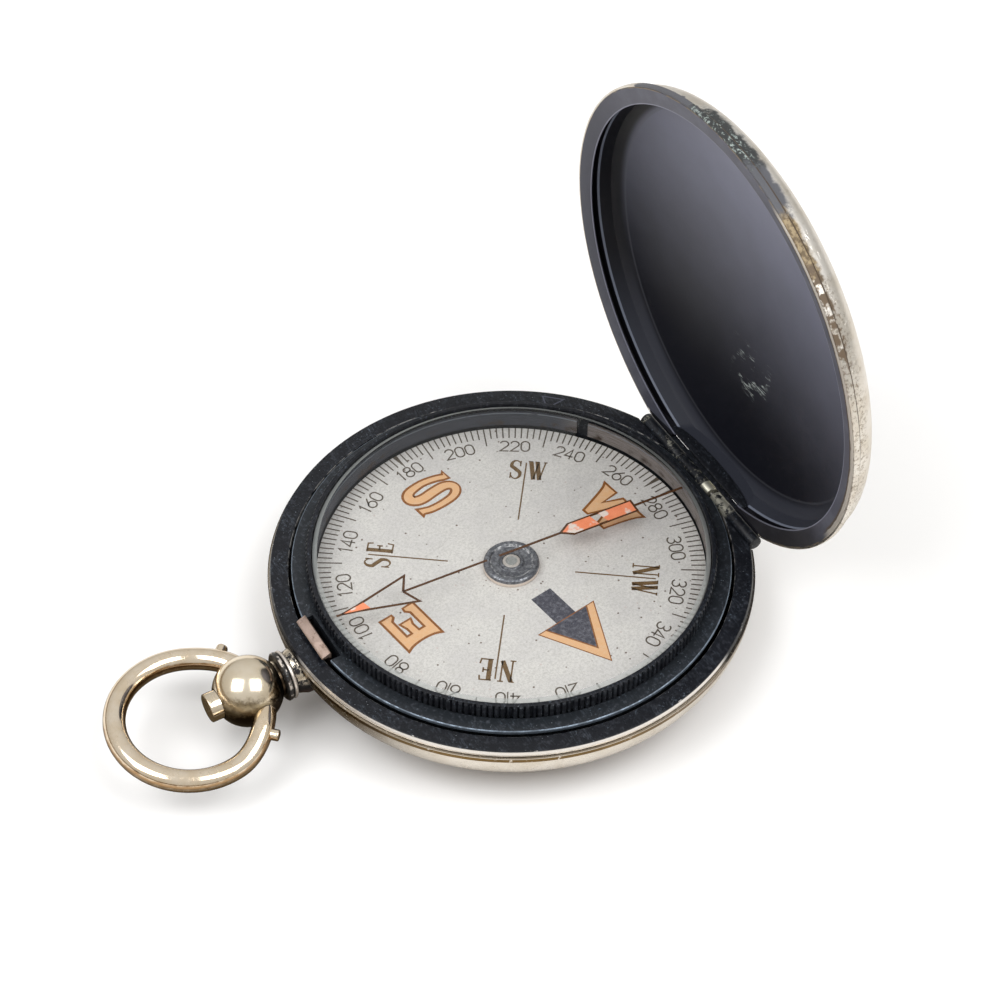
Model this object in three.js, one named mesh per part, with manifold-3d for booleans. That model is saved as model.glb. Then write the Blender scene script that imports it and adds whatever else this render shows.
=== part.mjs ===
// Hunter-case marching compass: a lidded pocket case, a turning bezel with a sighting glass, a
// floating card on a needle, a push-button lid catch and a swivel bow.
// Millimetres, +Z up. The origin is the centre of the flat back. The hinge is on +Y, the pendant on -Y.
import * as THREE from 'three';
import { mergeVertices } from 'three/addons/utils/BufferGeometryUtils.js';
import Module from 'manifold-3d';

const wasm = await Module();
wasm.setup();

// ---- driving dimensions -------------------------------------------------------------------------
const RING_SEGMENTS = 48;
const SMALL_SEGMENTS = 24;
const PIN_SEGMENTS = 16;
const GAP = 0.05;                      // standing gap between pieces that seat on each other

const RIM_Z = 8;                       // height of the flat rim on which the lid closes
const CASE_R = 23.35;                  // widest radius, at the silver band
const CASE_WAIST_Z = 7.3;              // height at which the case is widest
const CASE_WALL = 0.7;
const CASE_TOP_Z = RIM_Z - 0.75;

const FRONT_RING_IN_R = 21.3;
const FRONT_RING_OUT_R = 23.0;
const FRONT_RING_SKIRT_R = 22.0;

const SHELF_OUT_R = 21.05;
const SHELF_TOP_Z = RIM_Z + 0.35;
const SHELF_THICKNESS = 0.5;
const BOWL_IN_R = 19.45;
const BOWL_WALL = 0.3;
const BOWL_FLOOR_Z = 0.85;
const BOWL_FLOOR_THICKNESS = 0.5;

const BEZEL_OUT_R = 19.55;
const BEZEL_IN_R = 19.03;
const BEZEL_TOP_Z = RIM_Z + 2.0;
const BEZEL_UNDER_Z = SHELF_TOP_Z + 0.07;
const BEZEL_SKIRT_R = 19.35;
const BEZEL_SKIRT_Z = RIM_Z - 1.0;
const BEZEL_TURN = -3.4;               // degrees: where the sighting glass was left
const FRICTION_GROOVE_Z = RIM_Z - 0.9;
const FRICTION_GROOVE_HEIGHT = 0.4;

const CRYSTAL_R = BEZEL_IN_R - GAP;
const CRYSTAL_TOP_Z = RIM_Z + 1.95;
const CRYSTAL_THICKNESS = 0.8;
const CRYSTAL_BEVEL = 0.5;
const RETAINER_THICKNESS = 0.2;
const RETAINER_BOTTOM_Z = RIM_Z - 0.74;
const RETAINER_SPLIT = 1.2;            // width of the gap in the split ring
const RETAINER_SPLIT_ANGLE = 131;

const CARD_R = 18.6;
const CARD_TOP_Z = RIM_Z - 1.1;
const CARD_THICKNESS = 0.2;
const CARD_NORTH = -81.4;              // degrees: the card's north swings this far from the hinge
const HUB_R = 2.7;
const HUB_HEIGHT = 0.85;
const SPIGOT_R = 1.2;
const SPIGOT_BORE_R = 0.9;
const SPIGOT_LENGTH = 1.9;
const JEWEL_R = 0.85;
const MAGNET_LENGTH = 22;
const MAGNET_WIDTH = 1.3;
const MAGNET_HEIGHT = 1.0;
const MAGNET_OFFSET = 4.6;
const NEEDLE_R = 0.4;
const NEEDLE_TIP_Z = CARD_TOP_Z + 0.2;

const HINGE_Y = 21.5;
const HINGE_Z = RIM_Z - 0.3;
const HINGE_R = 0.7;
const HINGE_END_X = 9.85;
const HINGE_CLEARANCE = 0.12;
const TROUGH_END_X = 10;
const LID_KNUCKLE_X = [-3.2, 2.2];
const CASE_KNUCKLE_INNER_X = [-3.25, 2.7];
const HINGE_BORE_R = 0.38;
const HINGE_PIN_R = 0.3;
const LID_OPEN = 87.3;                 // degrees from closed to the rest pose

const LID_RIM_R = 22.95;
const LID_DOME_R = 22.5;
const LID_BEAD_H = 0.9;
const LID_DOME_H = 4.75;
const LID_WALL = 0.55;
const LID_SEAT_R = 22.45;
const LID_CUT_Y = 20.75;               // the lid ends on this chord, clear of the hinge
const LID_PLATE_X = 6.4;
const LID_PLATE_TOP_Z = RIM_Z + 1.9;
const LID_RING_IN_R = 21.15;
const LID_RING_HEIGHT = 0.4;

const SPRING_IN_R = 21.1;
const SPRING_THICKNESS = 0.3;
const SPRING_Z = [RIM_Z - 3.2, RIM_Z - 1.8];
const SCREW_HEAD_R = 0.75;
const SCREW_SHANK_R = 0.35;
const SCREW_BOSS_R = 0.65;
const LIFT_SCREW_ANGLE = 160;
const CATCH_SCREW_ANGLE = -32;

const PENDANT_Z = RIM_Z - 2.55;
const STEM_R = 0.6;
const STEM_HOLE_R = 0.75;
const NECK_R = 2.1;
const COLLAR_R = 2.4;
const COLLAR_Y = [-25.0, -24.05];
const BALL_Y = -28.2;
const BALL_R = 3.35;
const BUTTON_R = 1.4;
const BUTTON_FACE_Y = -32.35;
const BUTTON_BASE_Y = -30.55;
const BUTTON_WELL_R = 1.52;
const BUTTON_WELL_Y = -29.5;

const CATCH_X = [-2.75, 2.5];
const CATCH_BODY_Y = [-20.9, -20.6];
const CATCH_NOSE_Y = -21.6;
const CATCH_NOSE_Z = RIM_Z + 0.5;
const CATCH_TOP_Z = RIM_Z + 1.1;
const CATCH_FOOT_Z = RIM_Z - 3.4;

const BOW_R = 6.92;
const BOW_WIRE_R = 1.05;
const BOW_CENTRE_Y = -34.1;
const BOW_CENTRE_Z = RIM_Z - 2.95;
const BOW_PITCH = -4;                  // degrees: the far side of the bow stands a little high
const BOW_ROLL = 4;                    // degrees: and its +X side a little low
const BOW_END_ANGLE = 25;              // where the wire runs into the ball, before it is trimmed to fit
const BOW_RISE_ANGLE = 75;             // from here its ends rise to the pivots
const BOW_NIB_ANGLE = 44;
const BOW_NIB_REACH = 8.6;
const BOW_NIB_R = 0.55;
const BOW_PIVOT_R = 0.55;
const BOW_PIVOT_HOLE_R = 0.7;
const BOW_PIVOT_X = [2.45, 3.6];

// ---- helpers --------------------------------------------------------------------------------------
const radians = THREE.MathUtils.degToRad;

/** A closed three.js geometry as a manifold solid. */
function solid(geometry) {
  const plain = geometry.clone();
  plain.deleteAttribute('normal');
  plain.deleteAttribute('uv');
  const merged = mergeVertices(plain, 1e-5);
  const index = merged.index.array;
  const triangles = [];
  for (let i = 0; i < index.length; i += 3) {
    const [a, b, c] = [index[i], index[i + 1], index[i + 2]];
    if (a !== b && b !== c && c !== a) triangles.push(a, b, c);
  }
  const vertProperties = new Float32Array(merged.attributes.position.array);
  const triVerts = new Uint32Array(triangles);
  return new wasm.Manifold(new wasm.Mesh({ numProp: 3, vertProperties, triVerts }));
}

/** A manifold solid as a three.js geometry. */
function geometryOf(manifold) {
  const mesh = manifold.getMesh();
  const geometry = new THREE.BufferGeometry();
  geometry.setAttribute('position', new THREE.Float32BufferAttribute(mesh.vertProperties, 3));
  geometry.setIndex(Array.from(mesh.triVerts));
  return geometry;
}

/** Solid of revolution about Z. Profile points are [radius, z], outer side first going up. */
function turned(profile, segments = RING_SEGMENTS) {
  const points = profile.map(([r, z]) => new THREE.Vector2(r, z));
  if (profile[0][0] > 0) points.push(points[0].clone());
  return solid(new THREE.LatheGeometry(points, segments).rotateX(Math.PI / 2));
}

/** Solid of revolution about the pendant's axis. Profile points are [radius, y], going towards +Y. */
function turnedOnPendant(profile, segments = SMALL_SEGMENTS) {
  const points = profile.map(([r, y]) => new THREE.Vector2(r, y));
  if (profile[0][0] > 0) points.push(points[0].clone());
  return solid(new THREE.LatheGeometry(points, segments).translate(0, 0, PENDANT_Z));
}

/** A plain ring about Z. */
function ring(innerR, outerR, bottomZ, topZ, segments = RING_SEGMENTS) {
  return turned([[outerR, bottomZ], [outerR, topZ], [innerR, topZ], [innerR, bottomZ]], segments);
}

function box(x, y, z) {
  const geometry = new THREE.BoxGeometry(x[1] - x[0], y[1] - y[0], z[1] - z[0]);
  return solid(geometry.translate((x[0] + x[1]) / 2, (y[0] + y[1]) / 2, (z[0] + z[1]) / 2));
}

/** A cylinder between two points. */
function rod(radius, from, to, segments = SMALL_SEGMENTS) {
  const start = new THREE.Vector3(...from);
  const end = new THREE.Vector3(...to);
  const direction = end.clone().sub(start);
  const geometry = new THREE.CylinderGeometry(radius, radius, direction.length(), segments);
  const turn = new THREE.Quaternion().setFromUnitVectors(new THREE.Vector3(0, 1, 0), direction.normalize());
  geometry.applyQuaternion(turn);
  geometry.translate((from[0] + to[0]) / 2, (from[1] + to[1]) / 2, (from[2] + to[2]) / 2);
  return solid(geometry);
}

/** A plate whose outline is drawn in the Y-Z plane, running along X. */
function alongX(outline, x) {
  const shape = new THREE.Shape(outline.map(([y, z]) => new THREE.Vector2(y, z)));
  const geometry = new THREE.ExtrudeGeometry(shape, { depth: x[1] - x[0], bevelEnabled: false });
  geometry.rotateY(Math.PI / 2).rotateX(Math.PI / 2);
  return solid(geometry.translate(x[0], 0, 0));
}

/** A flat spring strip bent to an arc about the case axis; angles in degrees from +X. */
function bentStrip(innerR, outerR, fromAngle, toAngle, z) {
  const steps = Math.max(2, Math.round(Math.abs(toAngle - fromAngle) / 6));
  const outline = [];
  for (const [radius, order] of [[innerR, 1], [outerR, -1]]) {
    for (let i = 0; i <= steps; i++) {
      const part = order > 0 ? i / steps : 1 - i / steps;
      const angle = radians(fromAngle + (toAngle - fromAngle) * part);
      outline.push(new THREE.Vector2(radius * Math.cos(angle), radius * Math.sin(angle)));
    }
  }
  const strip = { depth: z[1] - z[0], bevelEnabled: false };
  const geometry = new THREE.ExtrudeGeometry(new THREE.Shape(outline), strip);
  return solid(geometry.translate(0, 0, z[0]));
}

/** A point on a radius of the case, degrees from +X. */
function onRadius(radius, angle, z) {
  return [radius * Math.cos(radians(angle)), radius * Math.sin(radians(angle)), z];
}

function metal(color, roughness, metalness = 1) {
  return new THREE.MeshStandardMaterial({ color, roughness, metalness });
}

const NICKEL = () => metal(0xcdc5bc, 0.3);
const BLACKENED = () => metal(0x24262b, 0.5, 0.6);
const STEEL = () => metal(0x9a9ca0, 0.35);
const BRASS = () => metal(0xb79a5b, 0.35);
const TARNISHED = () => metal(0xbeaa8c, 0.25);

function piece(name, manifold, material) {
  const mesh = new THREE.Mesh(geometryOf(manifold), material);
  mesh.name = name;
  return mesh;
}

// ---- case -----------------------------------------------------------------------------------------

/** Points down a bulged wall, from its waist to near the axis. */
function caseCurve(waistR, depth, angles) {
  return angles.map((degrees) => {
    const t = radians(degrees);
    return [waistR * Math.cos(t) ** 0.4, CASE_WAIST_Z - depth * Math.sin(t)];
  });
}

const CURVE_ANGLES = [0, 16, 31, 45, 57, 68, 76, 80];
const stemHole = rod(STEM_HOLE_R, [0, -25, PENDANT_Z], [0, -21, PENDANT_Z]);
const SCREW_Z = (SPRING_Z[0] + SPRING_Z[1]) / 2;

/** Room for the hinge barrel, cut down into the rim and open above it. */
function hingeTrough() {
  const radius = HINGE_R + HINGE_CLEARANCE;
  const trough = rod(radius, [-TROUGH_END_X, HINGE_Y, HINGE_Z], [TROUGH_END_X, HINGE_Y, HINGE_Z]);
  return trough.add(box([-TROUGH_END_X, TROUGH_END_X], [HINGE_Y - radius, 24.5], [HINGE_Z, RIM_Z + 3]));
}

function caseBody() {
  const outer = caseCurve(CASE_R, CASE_WAIST_Z, CURVE_ANGLES).reverse();
  const inner = caseCurve(CASE_R - CASE_WALL, CASE_WAIST_Z - CASE_WALL, CURVE_ANGLES);
  const profile = [[0, 0], [11.2, 0], ...outer.slice(0, -1), [CASE_R, CASE_TOP_Z],
    [CASE_R - CASE_WALL, CASE_TOP_Z], ...inner.slice(1), [0, CASE_WALL]];
  let body = turned(profile);
  for (const angle of [LIFT_SCREW_ANGLE, CATCH_SCREW_ANGLE]) {
    const boss = rod(SCREW_BOSS_R, onRadius(SPRING_IN_R + SPRING_THICKNESS + GAP, angle, SCREW_Z),
      onRadius(22.9, angle, SCREW_Z), PIN_SEGMENTS);
    const hole = rod(SCREW_SHANK_R + GAP, onRadius(21, angle, SCREW_Z), onRadius(22.7, angle, SCREW_Z),
      PIN_SEGMENTS);
    body = body.add(boss).subtract(hole);
  }
  return body.subtract(stemHole).subtract(hingeTrough());
}

function frontRing() {
  const top = RIM_Z;
  const seat = CASE_TOP_Z + GAP;
  const skirtOut = CASE_R - CASE_WALL - 0.3;
  const profile = [[skirtOut, seat], [FRONT_RING_OUT_R + 0.05, seat], [FRONT_RING_OUT_R + 0.15, top - 0.35],
    [FRONT_RING_OUT_R, top], [FRONT_RING_IN_R, top], [FRONT_RING_IN_R, seat],
    [FRONT_RING_SKIRT_R, seat], [FRONT_RING_SKIRT_R, top - 1.6], [skirtOut, top - 1.6]];
  return turned(profile).subtract(hingeTrough());
}

function compassBowl() {
  const out = BOWL_IN_R + BOWL_WALL;
  const floor = BOWL_FLOOR_Z + BOWL_FLOOR_THICKNESS;
  const under = SHELF_TOP_Z - SHELF_THICKNESS;
  const groove = FRICTION_GROOVE_Z - GAP;
  const bowl = turned([[0, BOWL_FLOOR_Z], [11, BOWL_FLOOR_Z], [16, 1.6], [18.5, 2.4], [out, 3.4],
    [out, groove - 0.3], [out + 0.35, groove], [out + 0.35, under], [SHELF_OUT_R, under],
    [SHELF_OUT_R, SHELF_TOP_Z], [BOWL_IN_R, SHELF_TOP_Z], [BOWL_IN_R, groove + FRICTION_GROOVE_HEIGHT],
    [out, groove + FRICTION_GROOVE_HEIGHT], [out, groove], [BOWL_IN_R, groove], [BOWL_IN_R, 3.5],
    [18.3, 2.8], [15.8, 2.0], [11, floor], [0, floor]]);
  const catchSlot = box([CATCH_X[0] - 0.2, CATCH_X[1] + 0.2], [-22, -out], [under - 1, SHELF_TOP_Z + 1]);
  const liftSlot = box([-4.9, -2.9], [20.2, 22], [under - 1, SHELF_TOP_Z + 1]);
  const seatHole = rod(0.95, [0, 0, 0], [0, 0, 3]);
  const wholeWall = ring(BOWL_IN_R, out, groove + FRICTION_GROOVE_HEIGHT, SHELF_TOP_Z);
  const slotted = bowl.subtract(catchSlot).add(wholeWall).subtract(liftSlot);
  return slotted.subtract(hingeTrough()).subtract(seatHole);
}

function frictionSpring() {
  const z = [FRICTION_GROOVE_Z, FRICTION_GROOVE_Z + 0.3];
  return bentStrip(BOWL_IN_R - 0.19, BOWL_IN_R + BOWL_WALL - GAP, 130, 410, z);
}

/** The screwed brass post in the bowl's floor; its foot passes through the floor. */
function pivotSeat() {
  const floor = BOWL_FLOOR_Z + BOWL_FLOOR_THICKNESS + GAP;
  return turned([[0.9, BOWL_FLOOR_Z], [0.9, floor], [2.2, floor], [2.2, floor + 0.6], [1.3, floor + 0.8],
    [1.0, floor + 2.2], [NEEDLE_R + GAP, floor + 2.2], [NEEDLE_R + GAP, BOWL_FLOOR_Z]], SMALL_SEGMENTS);
}

function pivotNeedle() {
  const foot = BOWL_FLOOR_Z + 0.1;
  return turned([[0, foot], [NEEDLE_R, foot], [NEEDLE_R, NEEDLE_TIP_Z - 1.3], [0.06, NEEDLE_TIP_Z],
    [0, NEEDLE_TIP_Z]], PIN_SEGMENTS);
}

function caseKnuckle(x) {
  const barrel = rod(HINGE_R, [x[0], HINGE_Y, HINGE_Z], [x[1], HINGE_Y, HINGE_Z]);
  return barrel.subtract(rod(HINGE_BORE_R, [x[0] - 1, HINGE_Y, HINGE_Z], [x[1] + 1, HINGE_Y, HINGE_Z]));
}

function hingePin() {
  const end = HINGE_END_X - 0.15;
  return rod(HINGE_PIN_R, [-end, HINGE_Y, HINGE_Z], [end, HINGE_Y, HINGE_Z], PIN_SEGMENTS);
}

/** The flat spring that lifts the lid: its cranked tongue stands up in front of the hinge. */
function liftSpring() {
  const out = SPRING_IN_R + SPRING_THICKNESS;
  const strip = bentStrip(SPRING_IN_R, out, 98, LIFT_SCREW_ANGLE + 4, SPRING_Z);
  const crank = box([-4.6, -3.2], [20.35, 21.05], [SPRING_Z[1] - 0.4, SPRING_Z[1]]);
  const tongue = box([-4.6, -3.2], [20.35, 20.6], [SPRING_Z[1] - 0.4, RIM_Z - 0.05]);
  const hole = rod(SCREW_SHANK_R + GAP, onRadius(20, LIFT_SCREW_ANGLE, SCREW_Z),
    onRadius(22, LIFT_SCREW_ANGLE, SCREW_Z), PIN_SEGMENTS);
  return strip.add(crank).add(tongue).subtract(hole);
}

/** The flat spring behind the catch, held by one screw at its far end. */
function catchSpring() {
  const strip = bentStrip(SPRING_IN_R, SPRING_IN_R + SPRING_THICKNESS, -87, CATCH_SCREW_ANGLE + 4, SPRING_Z);
  return strip.subtract(rod(SCREW_SHANK_R + GAP, onRadius(20, CATCH_SCREW_ANGLE, SCREW_Z),
    onRadius(22, CATCH_SCREW_ANGLE, SCREW_Z), PIN_SEGMENTS));
}

function springScrew(angle) {
  const head = rod(SCREW_HEAD_R, onRadius(SPRING_IN_R - 0.6, angle, SCREW_Z),
    onRadius(SPRING_IN_R - GAP, angle, SCREW_Z), PIN_SEGMENTS);
  const shank = rod(SCREW_SHANK_R, onRadius(SPRING_IN_R - 0.2, angle, SCREW_Z),
    onRadius(22.6, angle, SCREW_Z), PIN_SEGMENTS);
  return head.add(shank);
}

// ---- pendant --------------------------------------------------------------------------------------

/** The outside of the closed case, a gap proud, for cutting the pendant's neck to sit on it. */
function caseEnvelope() {
  const outer = caseCurve(CASE_R + GAP, CASE_WAIST_Z, CURVE_ANGLES.slice(0, 5)).reverse();
  return turned([[0, outer[0][1]], ...outer, [CASE_R + GAP, RIM_Z + 2], [0, RIM_Z + 2]]);
}

function pendantNeck() {
  const end = COLLAR_Y[1] + GAP;
  const profile = [[STEM_HOLE_R, end], [NECK_R - 0.15, end], [NECK_R, end + 0.3], [NECK_R + 0.1, -23.4],
    [NECK_R + 0.3, -22.9], [NECK_R + 0.3, -21.8], [STEM_HOLE_R, -21.8]];
  return turnedOnPendant(profile).subtract(caseEnvelope());
}

function pendantCollar() {
  const [outer, inner] = COLLAR_Y;
  return turnedOnPendant([[STEM_HOLE_R, outer], [COLLAR_R - 0.15, outer], [COLLAR_R, outer + 0.15],
    [COLLAR_R, outer + 0.4], [COLLAR_R - 0.2, outer + 0.5], [COLLAR_R - 0.05, outer + 0.65],
    [COLLAR_R - 0.1, inner], [STEM_HOLE_R, inner]]);
}

function pendantBall() {
  const sphere = solid(new THREE.SphereGeometry(BALL_R, SMALL_SEGMENTS, 14).translate(0, BALL_Y, PENDANT_Z));
  const foot = rod(1.7, [0, BALL_Y + 1.5, PENDANT_Z], [0, COLLAR_Y[0] - GAP, PENDANT_Z]);
  const beyond = box([-BALL_R, BALL_R], [COLLAR_Y[0] - GAP, BALL_Y + BALL_R + 1],
    [PENDANT_Z - 2, PENDANT_Z + 2]);
  const bore = rod(STEM_R + 0.12, [0, -32, PENDANT_Z], [0, -24, PENDANT_Z]);
  const well = rod(BUTTON_WELL_R, [0, -32, PENDANT_Z], [0, BUTTON_WELL_Y, PENDANT_Z]);
  let ball = sphere.add(foot).subtract(beyond).subtract(bore).subtract(well);
  for (const side of [-1, 1]) {
    const hole = rod(BOW_PIVOT_HOLE_R, [side * (BOW_PIVOT_X[0] - 0.1), BALL_Y, PENDANT_Z],
      [side * 4, BALL_Y, PENDANT_Z], PIN_SEGMENTS);
    ball = ball.subtract(hole);
  }
  return ball;
}

function pushButton() {
  const tip = CATCH_BODY_Y[0] - GAP;
  return turnedOnPendant([[0, BUTTON_FACE_Y], [BUTTON_R - 0.2, BUTTON_FACE_Y],
    [BUTTON_R, BUTTON_FACE_Y + 0.2], [BUTTON_R, BUTTON_BASE_Y], [STEM_R, BUTTON_BASE_Y], [STEM_R, tip],
    [0, tip]]);
}

/** The catch: a flat leg with a bevelled nose that hooks over the lid's inner ring. */
function lidCatch() {
  const [back, front] = CATCH_BODY_Y;
  return alongX([[back, CATCH_FOOT_Z], [front, CATCH_FOOT_Z], [front, CATCH_TOP_Z - 0.1],
    [front - 0.15, CATCH_TOP_Z], [CATCH_NOSE_Y, CATCH_NOSE_Z + 0.12], [CATCH_NOSE_Y, CATCH_NOSE_Z],
    [back, CATCH_NOSE_Z]], CATCH_X);
}

const BOW_LEAN = new THREE.Matrix4().makeTranslation(0, BOW_CENTRE_Y, BOW_CENTRE_Z)
  .multiply(new THREE.Matrix4().makeRotationY(radians(BOW_ROLL)))
  .multiply(new THREE.Matrix4().makeRotationX(radians(BOW_PITCH)));

/** A point on the bow; angles run from +Y round by -X. Its two ends rise to the pivots' height. */
function onBow(angle, reach = BOW_R) {
  const turn = radians(angle);
  const point = new THREE.Vector3(-reach * Math.sin(turn), reach * Math.cos(turn), 0).applyMatrix4(BOW_LEAN);
  const fromEnd = Math.min(angle, 360 - angle);
  const rise = 1 - THREE.MathUtils.smoothstep(fromEnd, BOW_END_ANGLE + 6, BOW_RISE_ANGLE);
  point.z += (PENDANT_Z - point.z) * rise;
  return point;
}

/** The bow's round wire, open at the pendant. */
class BowArc extends THREE.Curve {
  getPoint(t, target = new THREE.Vector3()) {
    return target.copy(onBow(BOW_END_ANGLE + (360 - 2 * BOW_END_ANGLE) * t));
  }
}

function bow() {
  const circle = new THREE.Shape().absarc(0, 0, BOW_WIRE_R, 0, 2 * Math.PI);
  const arc = new THREE.ExtrudeGeometry(circle,
    { steps: 36, curveSegments: 6, extrudePath: new BowArc(), bevelEnabled: false });
  const room = new THREE.SphereGeometry(BALL_R + GAP, SMALL_SEGMENTS * 2, 24).translate(0, BALL_Y, PENDANT_Z);
  let round = solid(arc);
  for (const angle of [BOW_NIB_ANGLE, 360 - BOW_NIB_ANGLE]) {
    const tip = onBow(angle, BOW_NIB_REACH).toArray();
    round = round.add(rod(BOW_NIB_R, onBow(angle).toArray(), tip, PIN_SEGMENTS));
  }
  round = round.subtract(solid(room));
  for (const side of [-1, 1]) {
    const [from, to] = BOW_PIVOT_X.map((x) => [side * x, BALL_Y, PENDANT_Z]);
    round = round.add(rod(BOW_PIVOT_R, from, to, PIN_SEGMENTS));
  }
  return round;
}

// ---- bezel ----------------------------------------------------------------------------------------

function bezelRing() {
  const groove = FRICTION_GROOVE_Z - GAP;
  return turned([[BEZEL_SKIRT_R, BEZEL_SKIRT_Z], [BEZEL_SKIRT_R, groove], [BEZEL_SKIRT_R - 0.15, groove],
    [BEZEL_SKIRT_R - 0.15, groove + FRICTION_GROOVE_HEIGHT], [BEZEL_SKIRT_R, groove + FRICTION_GROOVE_HEIGHT],
    [BEZEL_SKIRT_R, BEZEL_UNDER_Z], [BEZEL_OUT_R, BEZEL_UNDER_Z], [BEZEL_OUT_R, BEZEL_TOP_Z - 0.2],
    [BEZEL_OUT_R - 0.12, BEZEL_TOP_Z], [BEZEL_IN_R, BEZEL_TOP_Z], [BEZEL_IN_R, BEZEL_SKIRT_Z]]);
}

function crystal() {
  const bottom = CRYSTAL_TOP_Z - CRYSTAL_THICKNESS;
  return turned([[0, bottom], [CRYSTAL_R, bottom], [CRYSTAL_R, CRYSTAL_TOP_Z - 0.3],
    [CRYSTAL_R - CRYSTAL_BEVEL, CRYSTAL_TOP_Z], [0, CRYSTAL_TOP_Z]]);
}

function crystalRetainingRing() {
  const top = CRYSTAL_TOP_Z - CRYSTAL_THICKNESS - GAP;
  const whole = ring(CRYSTAL_R - RETAINER_THICKNESS, CRYSTAL_R, RETAINER_BOTTOM_Z, top);
  const split = box([17, 21], [-RETAINER_SPLIT / 2, RETAINER_SPLIT / 2], [RETAINER_BOTTOM_Z - 1, top + 1]);
  return whole.subtract(split.rotate([0, 0, RETAINER_SPLIT_ANGLE]));
}

// ---- card, built with its north on +Y ---------------------------------------------------------------

const CARD_UNDER_Z = CARD_TOP_Z - CARD_THICKNESS;
const MAGNET_BOTTOM_Z = CARD_UNDER_Z - GAP - MAGNET_HEIGHT;

function dialCard() {
  return ring(SPIGOT_R + GAP, CARD_R, CARD_UNDER_Z, CARD_TOP_Z);
}

function cardHub() {
  const seat = CARD_TOP_Z + GAP;
  const top = CARD_TOP_Z + HUB_HEIGHT;
  return turned([[SPIGOT_R, seat - SPIGOT_LENGTH], [SPIGOT_R, seat], [HUB_R, seat], [HUB_R, top - 0.1],
    [HUB_R - 0.1, top], [2.0, top], [1.95, top - 0.25], [1.15, top - 0.25], [1.1, top], [SPIGOT_BORE_R, top],
    [SPIGOT_BORE_R, seat - SPIGOT_LENGTH]], 32);
}

/** The jewelled cup that rides on the needle's tip. */
function jewelCap() {
  const top = CARD_TOP_Z + HUB_HEIGHT + 0.02;
  const apex = NEEDLE_TIP_Z + 0.2;
  const foot = CARD_TOP_Z - 0.8;
  return turned([[0.5, foot], [JEWEL_R, foot], [JEWEL_R, top - 0.1], [0.6, top], [0, top], [0, apex]],
    SMALL_SEGMENTS);
}

function magnet(side) {
  const x = side * MAGNET_OFFSET;
  return box([x - MAGNET_WIDTH / 2, x + MAGNET_WIDTH / 2], [-MAGNET_LENGTH / 2, MAGNET_LENGTH / 2],
    [MAGNET_BOTTOM_Z, MAGNET_BOTTOM_Z + MAGNET_HEIGHT]);
}

/** The light strap that carries both magnets under the card. */
function magnetCarrier() {
  const top = MAGNET_BOTTOM_Z - GAP;
  const strap = box([-5.6, 5.6], [-1.9, 1.9], [top - 0.3, top]);
  return strap.subtract(rod(SPIGOT_R + GAP, [0, 0, top - 1], [0, 0, top + 1]));
}

/** The round nut on the hub's spigot that clamps the strap and the card. */
function colletNut() {
  const top = MAGNET_BOTTOM_Z - GAP - 0.3 - GAP;
  return ring(SPIGOT_R + GAP, 2.0, top - 0.35, top, SMALL_SEGMENTS);
}

// ---- lid, built closed ------------------------------------------------------------------------------

function domeCurve(rimR, startZ, height, angles) {
  return angles.map((degrees) => {
    const t = radians(degrees);
    return [rimR * Math.cos(t) ** 0.8, startZ + height * Math.sin(t) ** 0.75];
  });
}

function lidShell() {
  const foot = RIM_Z + 2 * GAP;
  const start = RIM_Z + LID_BEAD_H;
  const angles = [0, 9, 20, 33, 47, 62, 78];
  const outer = domeCurve(LID_DOME_R, start, LID_DOME_H, angles);
  const inner = domeCurve(LID_DOME_R - LID_WALL, start, LID_DOME_H - LID_WALL, angles).reverse();
  const seatTop = RIM_Z + 0.6;
  const profile = [[LID_SEAT_R, foot], [LID_RIM_R, foot], [LID_RIM_R, start - 0.15], ...outer,
    [0, start + LID_DOME_H], [0, start + LID_DOME_H - LID_WALL], ...inner, [LID_DOME_R - LID_WALL, seatTop],
    [LID_SEAT_R, seatTop]];
  const whole = turned([...profile.slice(1), profile[0]]);
  const trimmed = whole.subtract(box([-12, 12], [LID_CUT_Y, 25], [RIM_Z - 1, RIM_Z + 8]));
  return trimmed.add(lidHingeWall(outer, start));
}

/** The flat wall that closes the lid along the hinge, standing on the hinge's plate. */
function lidHingeWall(outer, start) {
  const dome = turned([[0, RIM_Z + 0.6], [LID_DOME_R, RIM_Z + 0.6], ...outer, [0, start + LID_DOME_H]]);
  const slab = box([-12, 12], [LID_CUT_Y - 0.4, LID_CUT_Y], [RIM_Z, RIM_Z + 8]);
  const plate = box([-LID_PLATE_X - GAP, LID_PLATE_X + GAP], [20, 21], [RIM_Z, LID_PLATE_TOP_Z + GAP]);
  return dome.intersect(slab).subtract(plate);
}

function lidRimRing() {
  const foot = RIM_Z + GAP;
  const flat = ring(LID_RING_IN_R, LID_SEAT_R - GAP, foot, foot + LID_RING_HEIGHT);
  return flat.subtract(box([-12, 12], [20.2, 25], [RIM_Z - 1, RIM_Z + 3]));
}

/** The middle knuckle, with the plate that joins it to the lid. */
function lidKnuckle() {
  const barrel = rod(HINGE_R, [LID_KNUCKLE_X[0], HINGE_Y, HINGE_Z], [LID_KNUCKLE_X[1], HINGE_Y, HINGE_Z]);
  const leaf = alongX([[20.95, RIM_Z + 0.05], [21.5, RIM_Z + 0.4], [20.7, RIM_Z + 1.2], [20.4, RIM_Z + 1.2],
    [20.4, RIM_Z + 0.5], [20.9, RIM_Z + 0.5]], LID_KNUCKLE_X);
  const plate = box([-LID_PLATE_X, LID_PLATE_X], [20.35, 20.7], [RIM_Z + 0.5, LID_PLATE_TOP_Z]);
  const bore = rod(HINGE_BORE_R, [-4, HINGE_Y, HINGE_Z], [4, HINGE_Y, HINGE_Z]);
  return barrel.add(leaf).add(plate).subtract(bore);
}

// ---- assembly ---------------------------------------------------------------------------------------

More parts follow.
